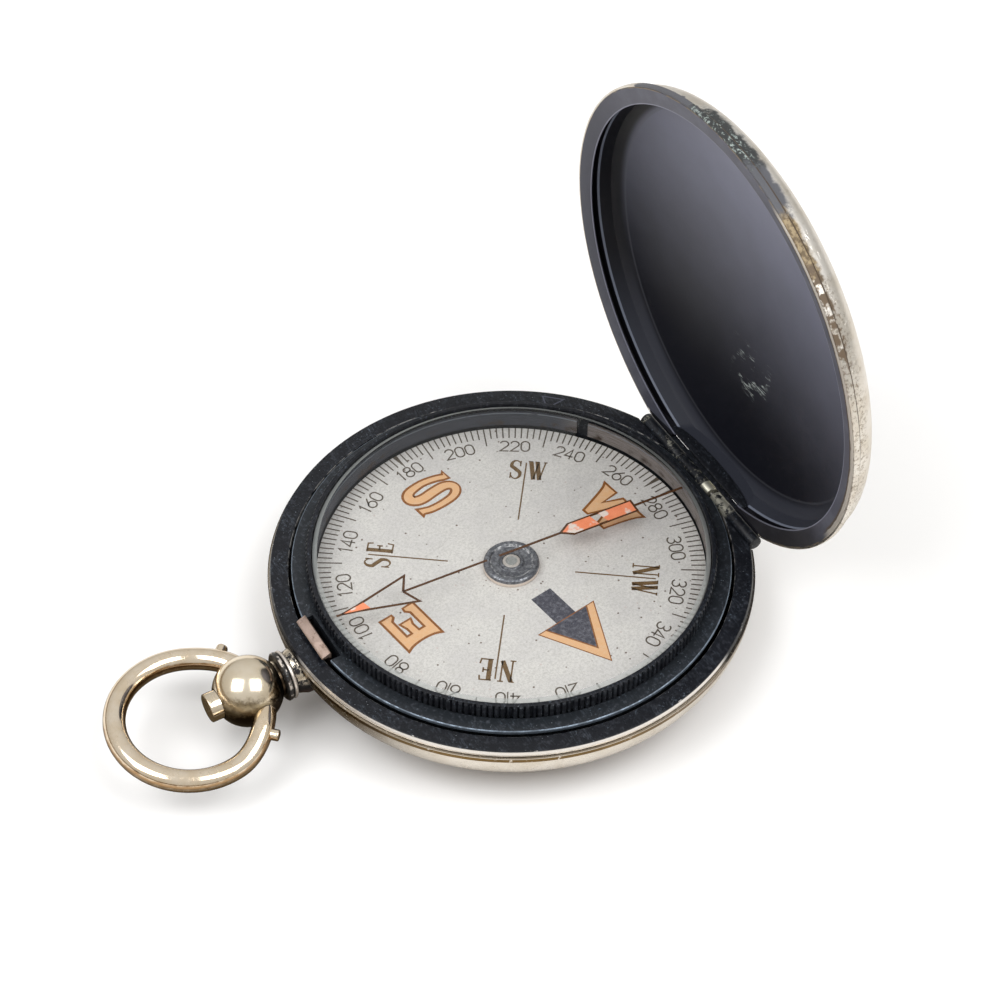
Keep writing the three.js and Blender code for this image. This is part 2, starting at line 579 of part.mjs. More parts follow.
const casing = new THREE.Group();
casing.add(
  piece('case_body', caseBody(), NICKEL()),
  piece('front_ring', frontRing(), BLACKENED()),
  piece('compass_bowl', compassBowl(), BLACKENED()),
  piece('bezel_friction_spring', frictionSpring(), STEEL()),
  piece('pivot_seat', pivotSeat(), BRASS()),
  piece('pivot_needle', pivotNeedle(), STEEL()),
  piece('case_knuckle_left', caseKnuckle([-HINGE_END_X, CASE_KNUCKLE_INNER_X[0]]), BLACKENED()),
  piece('case_knuckle_right', caseKnuckle([CASE_KNUCKLE_INNER_X[1], HINGE_END_X]), BLACKENED()),
  piece('hinge_pin', hingePin(), STEEL()),
  piece('lift_spring', liftSpring(), STEEL()),
  piece('lift_spring_screw', springScrew(LIFT_SCREW_ANGLE), STEEL()),
  piece('catch_spring', catchSpring(), STEEL()),
  piece('catch_spring_screw', springScrew(CATCH_SCREW_ANGLE), STEEL()),
  piece('pendant_neck', pendantNeck(), NICKEL()),
  piece('pendant_collar', pendantCollar(), TARNISHED()),
  piece('pendant_ball', pendantBall(), TARNISHED()),
  piece('push_button', pushButton(), TARNISHED()),
  piece('lid_catch', lidCatch(), NICKEL()),
  piece('bow', bow(), TARNISHED()),
);

const bezel = new THREE.Group();
bezel.rotation.z = radians(BEZEL_TURN);
bezel.add(
  piece('bezel_ring', bezelRing(), BLACKENED()),
  piece('crystal', crystal(), new THREE.MeshStandardMaterial({
    color: 0xe8eef0, roughness: 0.05, metalness: 0, transparent: true, opacity: 0.25 })),
  piece('crystal_retaining_ring', crystalRetainingRing(), STEEL()),
);

const card = new THREE.Group();
card.rotation.z = radians(CARD_NORTH);
card.add(
  piece('dial_card', dialCard(), metal(0xcdcbc8, 0.8, 0)),
  piece('card_hub', cardHub(), metal(0x82838a, 0.4)),
  piece('jewel_cap', jewelCap(), metal(0xd9cfc8, 0.15, 0)),
  piece('magnet_left', magnet(-1), STEEL()),
  piece('magnet_right', magnet(1), STEEL()),
  piece('magnet_carrier', magnetCarrier(), metal(0xb8bcc2, 0.45)),
  piece('collet_nut', colletNut(), BRASS()),
);

const lid = new THREE.Group();
lid.position.set(0, HINGE_Y, HINGE_Z);
lid.rotation.x = -radians(LID_OPEN);
const lidPieces = new THREE.Group();
lidPieces.position.set(0, -HINGE_Y, -HINGE_Z);
lidPieces.add(
  piece('lid_shell', lidShell(), NICKEL()),
  piece('lid_rim_ring', lidRimRing(), BLACKENED()),
  piece('lid_knuckle', lidKnuckle(), BLACKENED()),
);
lid.add(lidPieces);

const compass = new THREE.Group();
compass.add(casing, bezel, card, lid);

export default compass;
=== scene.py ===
import math
import random

import bmesh
import bpy
from mathutils import Matrix, Vector


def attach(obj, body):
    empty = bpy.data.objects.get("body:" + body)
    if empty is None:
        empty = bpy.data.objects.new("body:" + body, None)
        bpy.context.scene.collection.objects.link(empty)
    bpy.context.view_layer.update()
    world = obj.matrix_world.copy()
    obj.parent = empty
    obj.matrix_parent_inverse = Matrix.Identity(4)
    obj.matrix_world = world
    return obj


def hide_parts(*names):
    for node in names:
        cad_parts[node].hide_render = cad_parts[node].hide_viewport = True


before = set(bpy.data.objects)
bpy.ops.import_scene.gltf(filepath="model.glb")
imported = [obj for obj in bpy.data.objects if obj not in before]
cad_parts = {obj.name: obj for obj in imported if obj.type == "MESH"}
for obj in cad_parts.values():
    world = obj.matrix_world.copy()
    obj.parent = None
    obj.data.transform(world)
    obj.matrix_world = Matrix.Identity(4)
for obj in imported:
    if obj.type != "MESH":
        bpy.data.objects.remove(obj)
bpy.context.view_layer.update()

# Everything below is drawn in millimetres in the part's own frame: +Z up through the dial, hinge on +Y,
# pendant on -Y. MM turns it into metres as each mesh is made.
MM = 0.001
RIM_Z = 8.0
HINGE_Y, HINGE_Z, HINGE_R = 21.5, 7.7, 0.7
LID_OPEN, BEZEL_TURN, CARD_NORTH = 87.3, -3.4, -81.4
CARD_TOP_Z = RIM_Z - 1.1
GLASS_UNDER_Z = RIM_Z + 1.15
PENDANT_Z = RIM_Z - 2.55
BALL_Y, BALL_R = -28.2, 3.35
CASE_R, CASE_WAIST_Z, CASE_WALL = 23.35, 7.3, 0.7

UPRIGHT = Matrix.Identity(4)
BEZEL_PLACE = Matrix.Rotation(math.radians(BEZEL_TURN), 4, "Z")
CARD_PLACE = Matrix.Rotation(math.radians(CARD_NORTH), 4, "Z")
ALONG_PENDANT = Matrix.Translation((0, 0, PENDANT_Z * MM)) @ Matrix.Rotation(math.radians(-90), 4, "X")
LID_PLACE = (Matrix.Translation((0, HINGE_Y * MM, HINGE_Z * MM))
             @ Matrix.Rotation(math.radians(-LID_OPEN), 4, "X")
             @ Matrix.Translation((0, -HINGE_Y * MM, -HINGE_Z * MM)))


# ---- mesh helpers ----------------------------------------------------------------------------------

def add_object(name, mesh, place=UPRIGHT):
    thing = bpy.data.objects.new(name, mesh)
    bpy.context.scene.collection.objects.link(thing)
    thing.matrix_world = place
    return thing


def finish_mesh(name, work, place=UPRIGHT, sharp=32):
    """Turns a bmesh into an object with smooth faces and hard corners where they should be."""
    bmesh.ops.recalc_face_normals(work, faces=work.faces)
    mesh = bpy.data.meshes.new(name)
    work.to_mesh(mesh)
    work.free()
    soften(mesh, sharp)
    return add_object(name, mesh, place)


def soften(mesh, sharp=32):
    mesh.shade_smooth()
    mesh.set_sharp_from_angle(angle=math.radians(sharp))


def rounded(points, radius=0.0, steps=4):
    """A profile with its corners eased. A point may carry its own corner radius as a third number."""
    eased = []
    count = len(points)
    for i, point in enumerate(points):
        own = point[2] if len(point) > 2 else radius
        here = Vector(point[:2])
        back = Vector(points[i - 1][:2]) - here
        ahead = Vector(points[(i + 1) % count][:2]) - here
        if own <= 0 or back.length < 1e-6 or ahead.length < 1e-6:
            eased.append(here)
            continue
        half = back.angle(ahead) / 2
        reach = min(own / max(math.tan(half), 1e-3), back.length * 0.45, ahead.length * 0.45)
        start = here + back.normalized() * reach
        end = here + ahead.normalized() * reach
        for k in range(steps + 1):
            t = k / steps
            eased.append(start * (1 - t) ** 2 + here * 2 * t * (1 - t) + end * t ** 2)
    return eased


def lathe(name, profile, place=UPRIGHT, segments=192, wave=None, sharp=32):
    """A solid of revolution about its own Z. wave(radius, z, angle) may push a point in or out."""
    work = bmesh.new()
    rows = []
    for r, z in profile:
        if r < 1e-6:
            rows.append([work.verts.new((0, 0, z * MM))])
            continue
        row = []
        for k in range(segments):
            angle = 2 * math.pi * k / segments
            reach = r + (wave(r, z, angle) if wave else 0)
            row.append(work.verts.new((reach * math.cos(angle) * MM, reach * math.sin(angle) * MM, z * MM)))
        rows.append(row)
    pairs = list(zip(rows, rows[1:]))
    if len(rows[0]) > 1:
        pairs.append((rows[-1], rows[0]))
    for lower, upper in pairs:
        for k in range(segments):
            n = (k + 1) % segments
            corners = [lower[k % len(lower)], lower[n % len(lower)], upper[n % len(upper)], upper[k % len(upper)]]
            unique = list(dict.fromkeys(corners))
            if len(unique) > 2:
                work.faces.new(unique)
    return finish_mesh(name, work, place, sharp)


def prism(name, outline, low, high, axis="z", place=UPRIGHT, ease=0.0, sharp=32):
    """An outline pushed along one axis: (y, z) along x, (x, z) along y, or (x, y) along z."""
    work = bmesh.new()
    ends = []
    for level in (low, high):
        if axis == "x":
            ring = [work.verts.new((level * MM, p[0] * MM, p[1] * MM)) for p in outline]
        elif axis == "y":
            ring = [work.verts.new((p[0] * MM, level * MM, p[1] * MM)) for p in outline]
        else:
            ring = [work.verts.new((p[0] * MM, p[1] * MM, level * MM)) for p in outline]
        ends.append(ring)
    work.faces.new(ends[0])
    work.faces.new(ends[1])
    count = len(outline)
    for k in range(count):
        n = (k + 1) % count
        work.faces.new([ends[0][k], ends[0][n], ends[1][n], ends[1][k]])
    if ease:
        bmesh.ops.recalc_face_normals(work, faces=work.faces)
        hard = [e for e in work.edges if e.calc_face_angle(0) > math.radians(25)]
        bmesh.ops.bevel(work, geom=hard, offset=ease * MM, segments=3, profile=0.5, affect="EDGES",
                        clamp_overlap=True)
    return finish_mesh(name, work, place, sharp)


def block(x, y, z):
    outline = [(x[0], y[0]), (x[1], y[0]), (x[1], y[1]), (x[0], y[1])]
    return prism("cutter", outline, z[0], z[1])


def tube(name, points, radius, place=UPRIGHT, segments=24, ease=0.12, sharp=40):
    """A round rod through points in millimetres, with its two ends eased. radius may be a function of t."""
    path = [Vector(p) for p in points]
    ahead = (path[1] - path[0]).normalized()
    side = ahead.cross(Vector((0, 0, 1)))
    if side.length < 0.1:
        side = ahead.cross(Vector((0, 1, 0)))
    side.normalize()
    stations = []
    total = len(path) - 1
    for i, point in enumerate(path):
        tangent = (path[min(i + 1, total)] - path[max(i - 1, 0)]).normalized()
        side = (side - tangent * side.dot(tangent)).normalized()
        size = radius(i / total) if callable(radius) else radius
        if i == 0 and ease:
            stations.append((point, tangent, side, size - ease))
            stations.append((point + tangent * ease * 0.3, tangent, side, size - ease * 0.3))
            stations.append((point + tangent * ease, tangent, side, size))
        elif i == total and ease:
            stations.append((point - tangent * ease, tangent, side, size))
            stations.append((point - tangent * ease * 0.3, tangent, side, size - ease * 0.3))
            stations.append((point, tangent, side, size - ease))
        else:
            stations.append((point, tangent, side, size))
    work = bmesh.new()
    rings = []
    for point, tangent, across, size in stations:
        up = across.cross(tangent)
        ring = []
        for k in range(segments):
            angle = 2 * math.pi * k / segments
            spot = point + (across * math.cos(angle) + up * math.sin(angle)) * size
            ring.append(work.verts.new(spot * MM))
        rings.append(ring)
    for lower, upper in zip(rings, rings[1:]):
        for k in range(segments):
            n = (k + 1) % segments
            work.faces.new([lower[k], lower[n], upper[n], upper[k]])
    work.faces.new(rings[0])
    work.faces.new(rings[-1])
    return finish_mesh(name, work, place, sharp)


def combine(target, others, operation="DIFFERENCE", sharp=32):
    """Cuts others from target, or joins them to it, and leaves one plain mesh."""
    for other in others:
        modifier = target.modifiers.new(operation, "BOOLEAN")
        modifier.operation = operation
        modifier.object = other
        modifier.solver = "EXACT"
    bpy.context.view_layer.update()
    depsgraph = bpy.context.evaluated_depsgraph_get()
    mesh = bpy.data.meshes.new_from_object(target.evaluated_get(depsgraph))
    target.modifiers.clear()
    target.data = mesh
    for other in others:
        bpy.data.objects.remove(other)
    soften(mesh, sharp)
    return target


def curve_points(points, steps=8):
    """A smooth line through points (Catmull-Rom), in two or three dimensions."""
    line = [Vector(p) for p in points]
    full = [line[0] * 2 - line[1]] + line + [line[-1] * 2 - line[-2]]
    out = []
    for i in range(1, len(full) - 2):
        a, b, c, d = full[i - 1:i + 3]
        for k in range(steps):
            t = k / steps
            out.append(0.5 * (2 * b + (c - a) * t + (2 * a - 5 * b + 4 * c - d) * t ** 2
                              + (3 * b - a - 3 * c + d) * t ** 3))
    out.append(line[-1])
    return out


def arc(cx, cy, rx, ry, start, end, steps=10):
    """Points on an ellipse, degrees counter-clockwise from +X."""
    out = []
    for k in range(steps + 1):
        angle = math.radians(start + (end - start) * k / steps)
        out.append((cx + rx * math.cos(angle), cy + ry * math.sin(angle)))
    return out


class Print:
    """A thin printed layer: filled outlines and pen strokes, each a closed flat body."""

    def __init__(self, bottom, top):
        self.work = bmesh.new()
        self.levels = (bottom * MM, top * MM)

    def fill(self, outline):
        area = sum(a[0] * b[1] - b[0] * a[1] for a, b in zip(outline, outline[1:] + outline[:1]))
        if area < 0:
            outline = outline[::-1]
        rings = [[self.work.verts.new((p[0] * MM, p[1] * MM, z)) for p in outline] for z in self.levels]
        self.work.faces.new(rings[0][::-1])
        self.work.faces.new(rings[1])
        self.walls(rings[0], rings[1])

    def walls(self, low, high, closed=True):
        count = len(low)
        for k in range(count if closed else count - 1):
            n = (k + 1) % count
            self.work.faces.new([low[k], low[n], high[n], high[k]])

    def stroke(self, points, width, closed=False):
        """A pen line. width is one number, or one for each point."""
        line = [Vector(p[:2]) for p in points]
        count = len(line)
        widths = width if isinstance(width, (list, tuple)) else [width] * count
        left, right = [], []
        for k, point in enumerate(line):
            before = line[(k - 1) % count] if closed or k > 0 else point
            after = line[(k + 1) % count] if closed or k < count - 1 else point
            into = (point - before).normalized() if (point - before).length > 1e-9 else None
            out = (after - point).normalized() if (after - point).length > 1e-9 else None
            into = into or out
            out = out or into
            mean = (into + out).normalized() if (into + out).length > 1e-6 else into
            normal = Vector((-mean.y, mean.x))
            stretch = min(1 / max(mean.dot(into), 0.3), 2.2)
            offset = normal * widths[k] / 2 * stretch
            left.append(point + offset)
            right.append(point - offset)
        rows = []
        for rail, z in ((left, self.levels[0]), (right, self.levels[0]),
                        (left, self.levels[1]), (right, self.levels[1])):
            rows.append([self.work.verts.new((p.x * MM, p.y * MM, z)) for p in rail])
        low_left, low_right, high_left, high_right = rows
        for a, b in ((low_left, low_right), (high_left, high_right), (low_left, high_left), (low_right, high_right)):
            self.walls(a, b, closed)
        if not closed:
            for k in (0, -1):
                self.work.faces.new([low_left[k], low_right[k], high_right[k], high_left[k]])

    def build(self, name, place):
        thing = finish_mesh(name, self.work, place)
        return thing


# ---- procedural material helpers ---------------------------------------------------------------------

class Finish:
    """Short hand for one procedural material. Lengths inside it are millimetres in the piece's own frame."""

    def __init__(self, name):
        self.material = bpy.data.materials.new(name)
        self.material.use_nodes = True
        self.tree = self.material.node_tree
        self.tree.nodes.clear()
        self.shader = self.tree.nodes.new("ShaderNodeBsdfPrincipled")
        self.output = self.tree.nodes.new("ShaderNodeOutputMaterial")
        self.join(self.shader.outputs[0], self.output.inputs["Surface"])
        place = self.tree.nodes.new("ShaderNodeTexCoord")
        scale = self.tree.nodes.new("ShaderNodeVectorMath")
        scale.operation = "SCALE"
        scale.inputs["Scale"].default_value = 1 / MM
        self.join(place.outputs["Object"], scale.inputs[0])
        self.position = scale.outputs[0]
        split = self.tree.nodes.new("ShaderNodeSeparateXYZ")
        self.join(self.position, split.inputs[0])
        self.x, self.y, self.z = split.outputs

    def join(self, source, target):
        self.tree.links.new(source, target)

    def feed(self, target, value):
        """Links a socket, or sets a plain number or colour."""
        if isinstance(value, bpy.types.NodeSocket):
            self.join(value, target)
        elif isinstance(value, (int, float)) and hasattr(target.default_value, "__len__"):
            target.default_value = (value, value, value, 1)[:len(target.default_value)]
        elif hasattr(value, "__len__") and len(value) == 3 and len(target.default_value) == 4:
            target.default_value = (*value, 1)
        else:
            target.default_value = value

    def math(self, operation, a, b=0.0, c=0.0, clamp=False):
        node = self.tree.nodes.new("ShaderNodeMath")
        node.operation = operation
        node.use_clamp = clamp
        for target, value in zip(node.inputs, (a, b, c)):
            self.feed(target, value)
        return node.outputs[0]

    def facing(self, axis):
        """How far the surface faces along one of the piece's own axes, from minus one to one."""
        place = self.tree.nodes.new("ShaderNodeTexCoord")
        split = self.tree.nodes.new("ShaderNodeSeparateXYZ")
        self.join(place.outputs["Normal"], split.inputs[0])
        return split.outputs[axis]

    def turn(self):
        """Degrees round the piece's own Z, counter-clockwise from +X."""
        return self.math("MULTIPLY", self.math("ARCTAN2", self.y, self.x), 180 / math.pi)

    def span(self, value, low, high, soft):
        """One between low and high, fading over soft beyond them."""
        return self.math("MULTIPLY", self.step(value, low - soft, low), self.step(value, high + soft, high))

    def both(self, *masks):
        """The product of several masks."""
        result = masks[0]
        for mask in masks[1:]:
            result = self.math("MULTIPLY", result, mask)
        return result

    def over(self, mask, colour):
        """Lays a colour over what has been mixed so far."""
        self.colour = self.mix(mask, self.colour, colour)
        self.look(colour=self.colour)

    def radius(self):
        square = self.math("ADD", self.math("MULTIPLY", self.x, self.x), self.math("MULTIPLY", self.y, self.y))
        return self.math("SQRT", square)

    def noise(self, scale, detail=4, roughness=0.55, stretch=(1, 1, 1), distort=0.0, seed=0.0):
        """Noise of about scale features to the millimetre, centred on one half."""
        mapping = self.tree.nodes.new("ShaderNodeMapping")
        mapping.inputs["Scale"].default_value = stretch
        mapping.inputs["Location"].default_value = (seed * 3.7, seed * 1.9, seed * 5.3)
        self.join(self.position, mapping.inputs[0])
        node = self.tree.nodes.new("ShaderNodeTexNoise")
        node.inputs["Scale"].default_value = scale
        node.inputs["Detail"].default_value = detail
        node.inputs["Roughness"].default_value = roughness
        node.inputs["Distortion"].default_value = distort
        self.join(mapping.outputs[0], node.inputs["Vector"])
        return node.outputs["Fac"]

    def rings(self, scale, seed=0.0):
        """Fine turning marks: noise that varies with the radius only."""
        combine_node = self.tree.nodes.new("ShaderNodeCombineXYZ")
        self.join(self.radius(), combine_node.inputs[0])
        self.feed(combine_node.inputs[1], seed)
        node = self.tree.nodes.new("ShaderNodeTexNoise")
        node.inputs["Scale"].default_value = scale
        node.inputs["Detail"].default_value = 3
        self.join(combine_node.outputs[0], node.inputs["Vector"])
        return node.outputs["Fac"]

    def cells(self, scale, seed=0.0):
        """Distance to scattered points, for specks and pits."""
        mapping = self.tree.nodes.new("ShaderNodeMapping")
        mapping.inputs["Location"].default_value = (seed * 2.3, seed * 4.1, seed)
        self.join(self.position, mapping.inputs[0])
        node = self.tree.nodes.new("ShaderNodeTexVoronoi")
        node.inputs["Scale"].default_value = scale
        self.join(mapping.outputs[0], node.inputs["Vector"])
        return node.outputs["Distance"]

    def scratches(self, scale, turn, seed=0.0, width=0.035):
        """Thin broken hair lines running one way, one where there is a scratch."""
        mapping = self.tree.nodes.new("ShaderNodeMapping")
        mapping.inputs["Rotation"].default_value = (0.3, 0.2, math.radians(turn))
        mapping.inputs["Location"].default_value = (seed, seed * 2, seed * 3)
        mapping.inputs["Scale"].default_value = (0.12, 1.0, 1.0)
        self.join(self.position, mapping.inputs[0])
        node = self.tree.nodes.new("ShaderNodeTexNoise")
        node.inputs["Scale"].default_value = scale
        node.inputs["Detail"].default_value = 2
        node.inputs["Distortion"].default_value = 0.4
        self.join(mapping.outputs[0], node.inputs["Vector"])
        away = self.math("ABSOLUTE", self.math("SUBTRACT", node.outputs["Fac"], 0.5))
        line = self.step(away, width, 0.0)
        return self.math("MULTIPLY", line, self.step(self.noise(0.5, seed=seed + 3), 0.52, 0.62))

    def step(self, value, low, high):
        """Nought below low, one above high, smooth between; low may be the larger."""
        node = self.tree.nodes.new("ShaderNodeMapRange")
        node.interpolation_type = "SMOOTHSTEP"
        node.clamp = True
        self.feed(node.inputs["Value"], value)
        if low <= high:
            node.inputs["From Min"].default_value = low
            node.inputs["From Max"].default_value = high
            return node.outputs[0]
        node.inputs["From Min"].default_value = high
        node.inputs["From Max"].default_value = low
        node.inputs["To Min"].default_value = 1.0
        node.inputs["To Max"].default_value = 0.0
        return node.outputs[0]

    def band(self, value, centre, half, soft=0.05):
        """One within half of centre, fading over soft."""
        away = self.math("ABSOLUTE", self.math("SUBTRACT", value, centre))
        return self.step(away, half + soft, half)

    def mix(self, share, a, b):
        node = self.tree.nodes.new("ShaderNodeMix")
        node.data_type = "RGBA"
        self.feed(node.inputs["Factor"], share)
        inputs = [s for s in node.inputs if s.type == "RGBA"]
        self.feed(inputs[0], a)
        self.feed(inputs[1], b)
        return [s for s in node.outputs if s.type == "RGBA"][0]

    def blend(self, share, a, b):
        """A plain number between a and b."""
        node = self.tree.nodes.new("ShaderNodeMix")
        node.data_type = "FLOAT"
        inputs = [s for s in node.inputs if s.type == "VALUE"]
        for target, value in zip(inputs, (share, a, b)):
            self.feed(target, value)
        return [s for s in node.outputs if s.type == "VALUE"][0]

    def bump(self, height, depth):
        """Roughens the surface; depth is in millimetres."""
        node = self.tree.nodes.new("ShaderNodeBump")
        node.inputs["Strength"].default_value = 1.0
        node.inputs["Distance"].default_value = depth * MM
        self.feed(node.inputs["Height"], height)
        self.join(node.outputs[0], self.shader.inputs["Normal"])

    def look(self, **settings):
        names = {"colour": "Base Color", "roughness": "Roughness", "metallic": "Metallic",
                 "specular": "Specular IOR Level", "coat": "Coat Weight", "coat_roughness": "Coat Roughness"}
        for key, value in settings.items():
            self.feed(self.shader.inputs[names[key]], value)
        return self.material


def polished_metal(name, bright, dull, roughness, grime, grime_share=0.5, wear=1.0, mark_depth=0.004):
    """Old polished metal: clouded colour, hair scratches and grime in patches."""
    f = Finish(name)
    cloud = f.step(f.noise(0.35, 5, 0.6, seed=1), 0.35, 0.68)
    colour = f.mix(cloud, bright, dull)
    dirt_noise = f.noise(1.1, 8, 0.68, seed=4)
    dirt = f.math("MULTIPLY", f.step(dirt_noise, 0.56, 0.72), grime_share)
    lines = f.math("ADD", f.scratches(1.6, 20, 1), f.scratches(2.1, 110, 5), clamp=True)
    colour = f.mix(dirt, colour, grime)
    fine = f.noise(9, 3, 0.6, seed=2)
    rough = f.math("ADD", roughness, f.math("MULTIPLY", f.math("SUBTRACT", fine, 0.4), 0.22 * wear))
    rough = f.math("ADD", rough, f.math("MULTIPLY", dirt, 0.35))
    rough = f.math("ADD", rough, f.math("MULTIPLY", lines, 0.15), clamp=True)
    relief = f.math("SUBTRACT", f.math("MULTIPLY", fine, 0.35 * wear), f.math("MULTIPLY", lines, 0.6 * wear))
    relief = f.math("ADD", relief, f.math("MULTIPLY", f.noise(0.8, 2, seed=9), 1.5 * wear))
    f.bump(relief, mark_depth)
    f.colour = colour
    f.look(colour=colour, roughness=rough, metallic=f.blend(dirt, 1.0, 0.35))
    return f


def lacquer(name, base=(0.006, 0.007, 0.010), worn=(0.30, 0.31, 0.34), wear_mask=None, roughness=0.3,
            dust_share=0.42):
    """Black lacquer on metal: dusty, pitted, and rubbed through where wear_mask says."""
    f = Finish(name)
    dust_noise = f.noise(2.2, 8, 0.7, seed=3)
    dust = f.math("MULTIPLY", f.step(dust_noise, 0.5, 0.75), dust_share)
    colour = f.mix(dust, base, (0.085, 0.092, 0.112))
    rubbed = f.both(f.step(f.noise(4.5, 6, 0.75, seed=15), 0.56, 0.66), f.step(f.noise(0.5, 4, seed=16), 0.46, 0.6))
    colour = f.mix(f.math("MULTIPLY", rubbed, 0.6), colour, (0.16, 0.20, 0.25))
    pits = f.step(f.cells(2.6, 1), 0.12, 0.05)
    pit_gate = f.step(f.noise(0.6, 2, seed=8), 0.48, 0.6)
    pits = f.math("MULTIPLY", pits, pit_gate)
    colour = f.mix(pits, colour, (0.28, 0.31, 0.34))
    lines = f.math("ADD", f.scratches(2.0, 35, 2), f.scratches(2.6, 140, 6), clamp=True)
    colour = f.mix(f.math("MULTIPLY", lines, 0.1), colour, (0.20, 0.24, 0.30))
    metallic = 0.0
    if wear_mask:
        wear = wear_mask(f)
        colour = f.mix(wear, colour, worn)
        metallic = f.math("MULTIPLY", wear, 0.8)
    fine = f.noise(7, 5, 0.65, seed=6)
    rough = f.math("ADD", roughness, f.math("MULTIPLY", f.math("SUBTRACT", fine, 0.45), 0.35))
    rough = f.math("ADD", rough, f.math("MULTIPLY", dust, 0.5), clamp=True)
    relief = f.math("ADD", f.math("MULTIPLY", fine, 0.5), f.math("MULTIPLY", f.noise(1.6, 3, seed=7), 1.0))
    relief = f.math("SUBTRACT", relief, f.math("MULTIPLY", pits, 0.8))
    f.bump(relief, 0.02)
    f.colour = colour
    f.look(colour=colour, roughness=rough, metallic=metallic, specular=0.28)
    return f


# ---- materials ------------------------------------------------------------------------------------------

def nickel_case():
    """The outer shell: a silver band with a broken line of old dirt under the rim, and browner towards the foot, a
    painted reflection of the dark table below.
    """
    f = polished_metal("nickel_silver_case", (0.80, 0.76, 0.70), (0.68, 0.63, 0.55), 0.2, (0.34, 0.26, 0.15), 0.25)
    broken = f.step(f.noise(0.8, 6, 0.7, seed=31), 0.34, 0.41)
    seam = f.both(f.band(f.z, 7.0, 0.2, 0.05), broken)
    f.over(seam, f.mix(f.noise(0.3, 3, seed=32), (0.06, 0.032, 0.012), (0.27, 0.17, 0.05)))
    # Browner towards the foot: a painted reflection of the dark table under the case.
    f.over(f.math("MULTIPLY", f.step(f.z, 4.5, 3.8), 0.8), (0.20, 0.125, 0.055))
    return f.material


def nickel_lid():
    """The lid's outside: black lacquer left near the front, then a brown streak, then rubbed silver."""
    f = polished_metal("nickel_silver_lid", (0.82, 0.79, 0.74), (0.70, 0.65, 0.57), 0.3, (0.32, 0.25, 0.16), 0.35,
                       1.6, 0.012)
    turn = f.turn()
    ragged = f.math("ADD", turn, f.math("MULTIPLY", f.math("SUBTRACT", f.noise(0.9, 6, 0.7, seed=41), 0.5), 16))
    height = f.math("ADD", f.z, f.math("MULTIPLY", f.math("SUBTRACT", f.noise(1.0, 5, seed=42), 0.5), 1.6))
    low = f.step(height, 9.6, 9.0)
    brown = f.mix(f.step(f.noise(2.4, 6, 0.7, seed=45), 0.4, 0.6), (0.13, 0.09, 0.045), (0.34, 0.26, 0.15))
    streak = f.both(f.span(ragged, -67, -49, 3), low)
    chips = f.both(f.span(ragged, -50, -30, 3), low, f.step(f.noise(0.9, 6, seed=46), 0.42, 0.5))
    slate = f.math("MAXIMUM", f.both(f.span(ragged, -82, -67, 4), f.step(height, 10.2, 9.5)),
                   f.both(f.span(ragged, -122, -96, 4), f.step(height, 9.2, 8.9)))
    black = f.both(f.span(ragged, -97, -80, 4), f.step(height, 10.3, 9.7))
    flecks = f.both(black, f.step(f.noise(1.9, 8, 0.75, seed=43), 0.53, 0.57), f.step(height, 9.7, 9.2))
    specks = f.both(f.span(ragged, -45, 40, 6), f.step(f.noise(3.0, 7, 0.75, seed=47), 0.48, 0.62), f.step(height, 10.4, 9.4))
    edge = f.both(f.span(f.z, 8.70, 8.95, 0.05), f.step(f.noise(0.7, 5, 0.7, seed=44), 0.34, 0.44))
    f.over(specks, (0.36, 0.31, 0.25))
    f.over(streak, brown)
    f.over(chips, (0.13, 0.09, 0.055))
    f.over(slate, (0.095, 0.098, 0.112))
    f.over(black, (0.030, 0.033, 0.034))
    f.over(flecks, (0.34, 0.40, 0.38))
    f.over(edge, (0.07, 0.045, 0.025))
    painted = streak
    for mask in (chips, slate, black, edge):
        painted = f.math("MAXIMUM", painted, mask)
    f.look(metallic=f.blend(painted, 1.0, 0.05), roughness=f.blend(painted, 0.3, 0.55))
    return f.material


def tarnished():
    """Champagne-coloured old nickel, browner in patches."""
    return polished_metal("tarnished_nickel_parts", (0.84, 0.76, 0.62), (0.74, 0.62, 0.46), 0.12, (0.36, 0.24, 0.11),
                          0.3, 0.6).material


def bow_metal():
    """The same nickel on the bow, with a painted brown reflection line low on the wire and painted dark shade on its
    underside, both set by which way the surface faces.
    """
    f = polished_metal("tarnished_nickel_bow_painted_shade", (0.88, 0.77, 0.62), (0.80, 0.66, 0.48), 0.1, (0.36, 0.24, 0.11),
                       0.3, 0.6)
    uneven = f.math("MULTIPLY", f.math("SUBTRACT", f.noise(0.9, 4, seed=53), 0.5), 0.6)
    slope = f.math("ADD", f.facing("Z"), uneven)
    # Painted reflection: a brown line where the wire faces a little upward; below it, painted shade where the wire
    # faces down.
    f.over(f.math("MULTIPLY", f.band(slope, 0.28, 0.08, 0.2), 0.85), (0.36, 0.21, 0.09))
    f.over(f.math("MULTIPLY", f.step(slope, -0.15, -0.5), 0.85), (0.17, 0.105, 0.045))
    return f.material


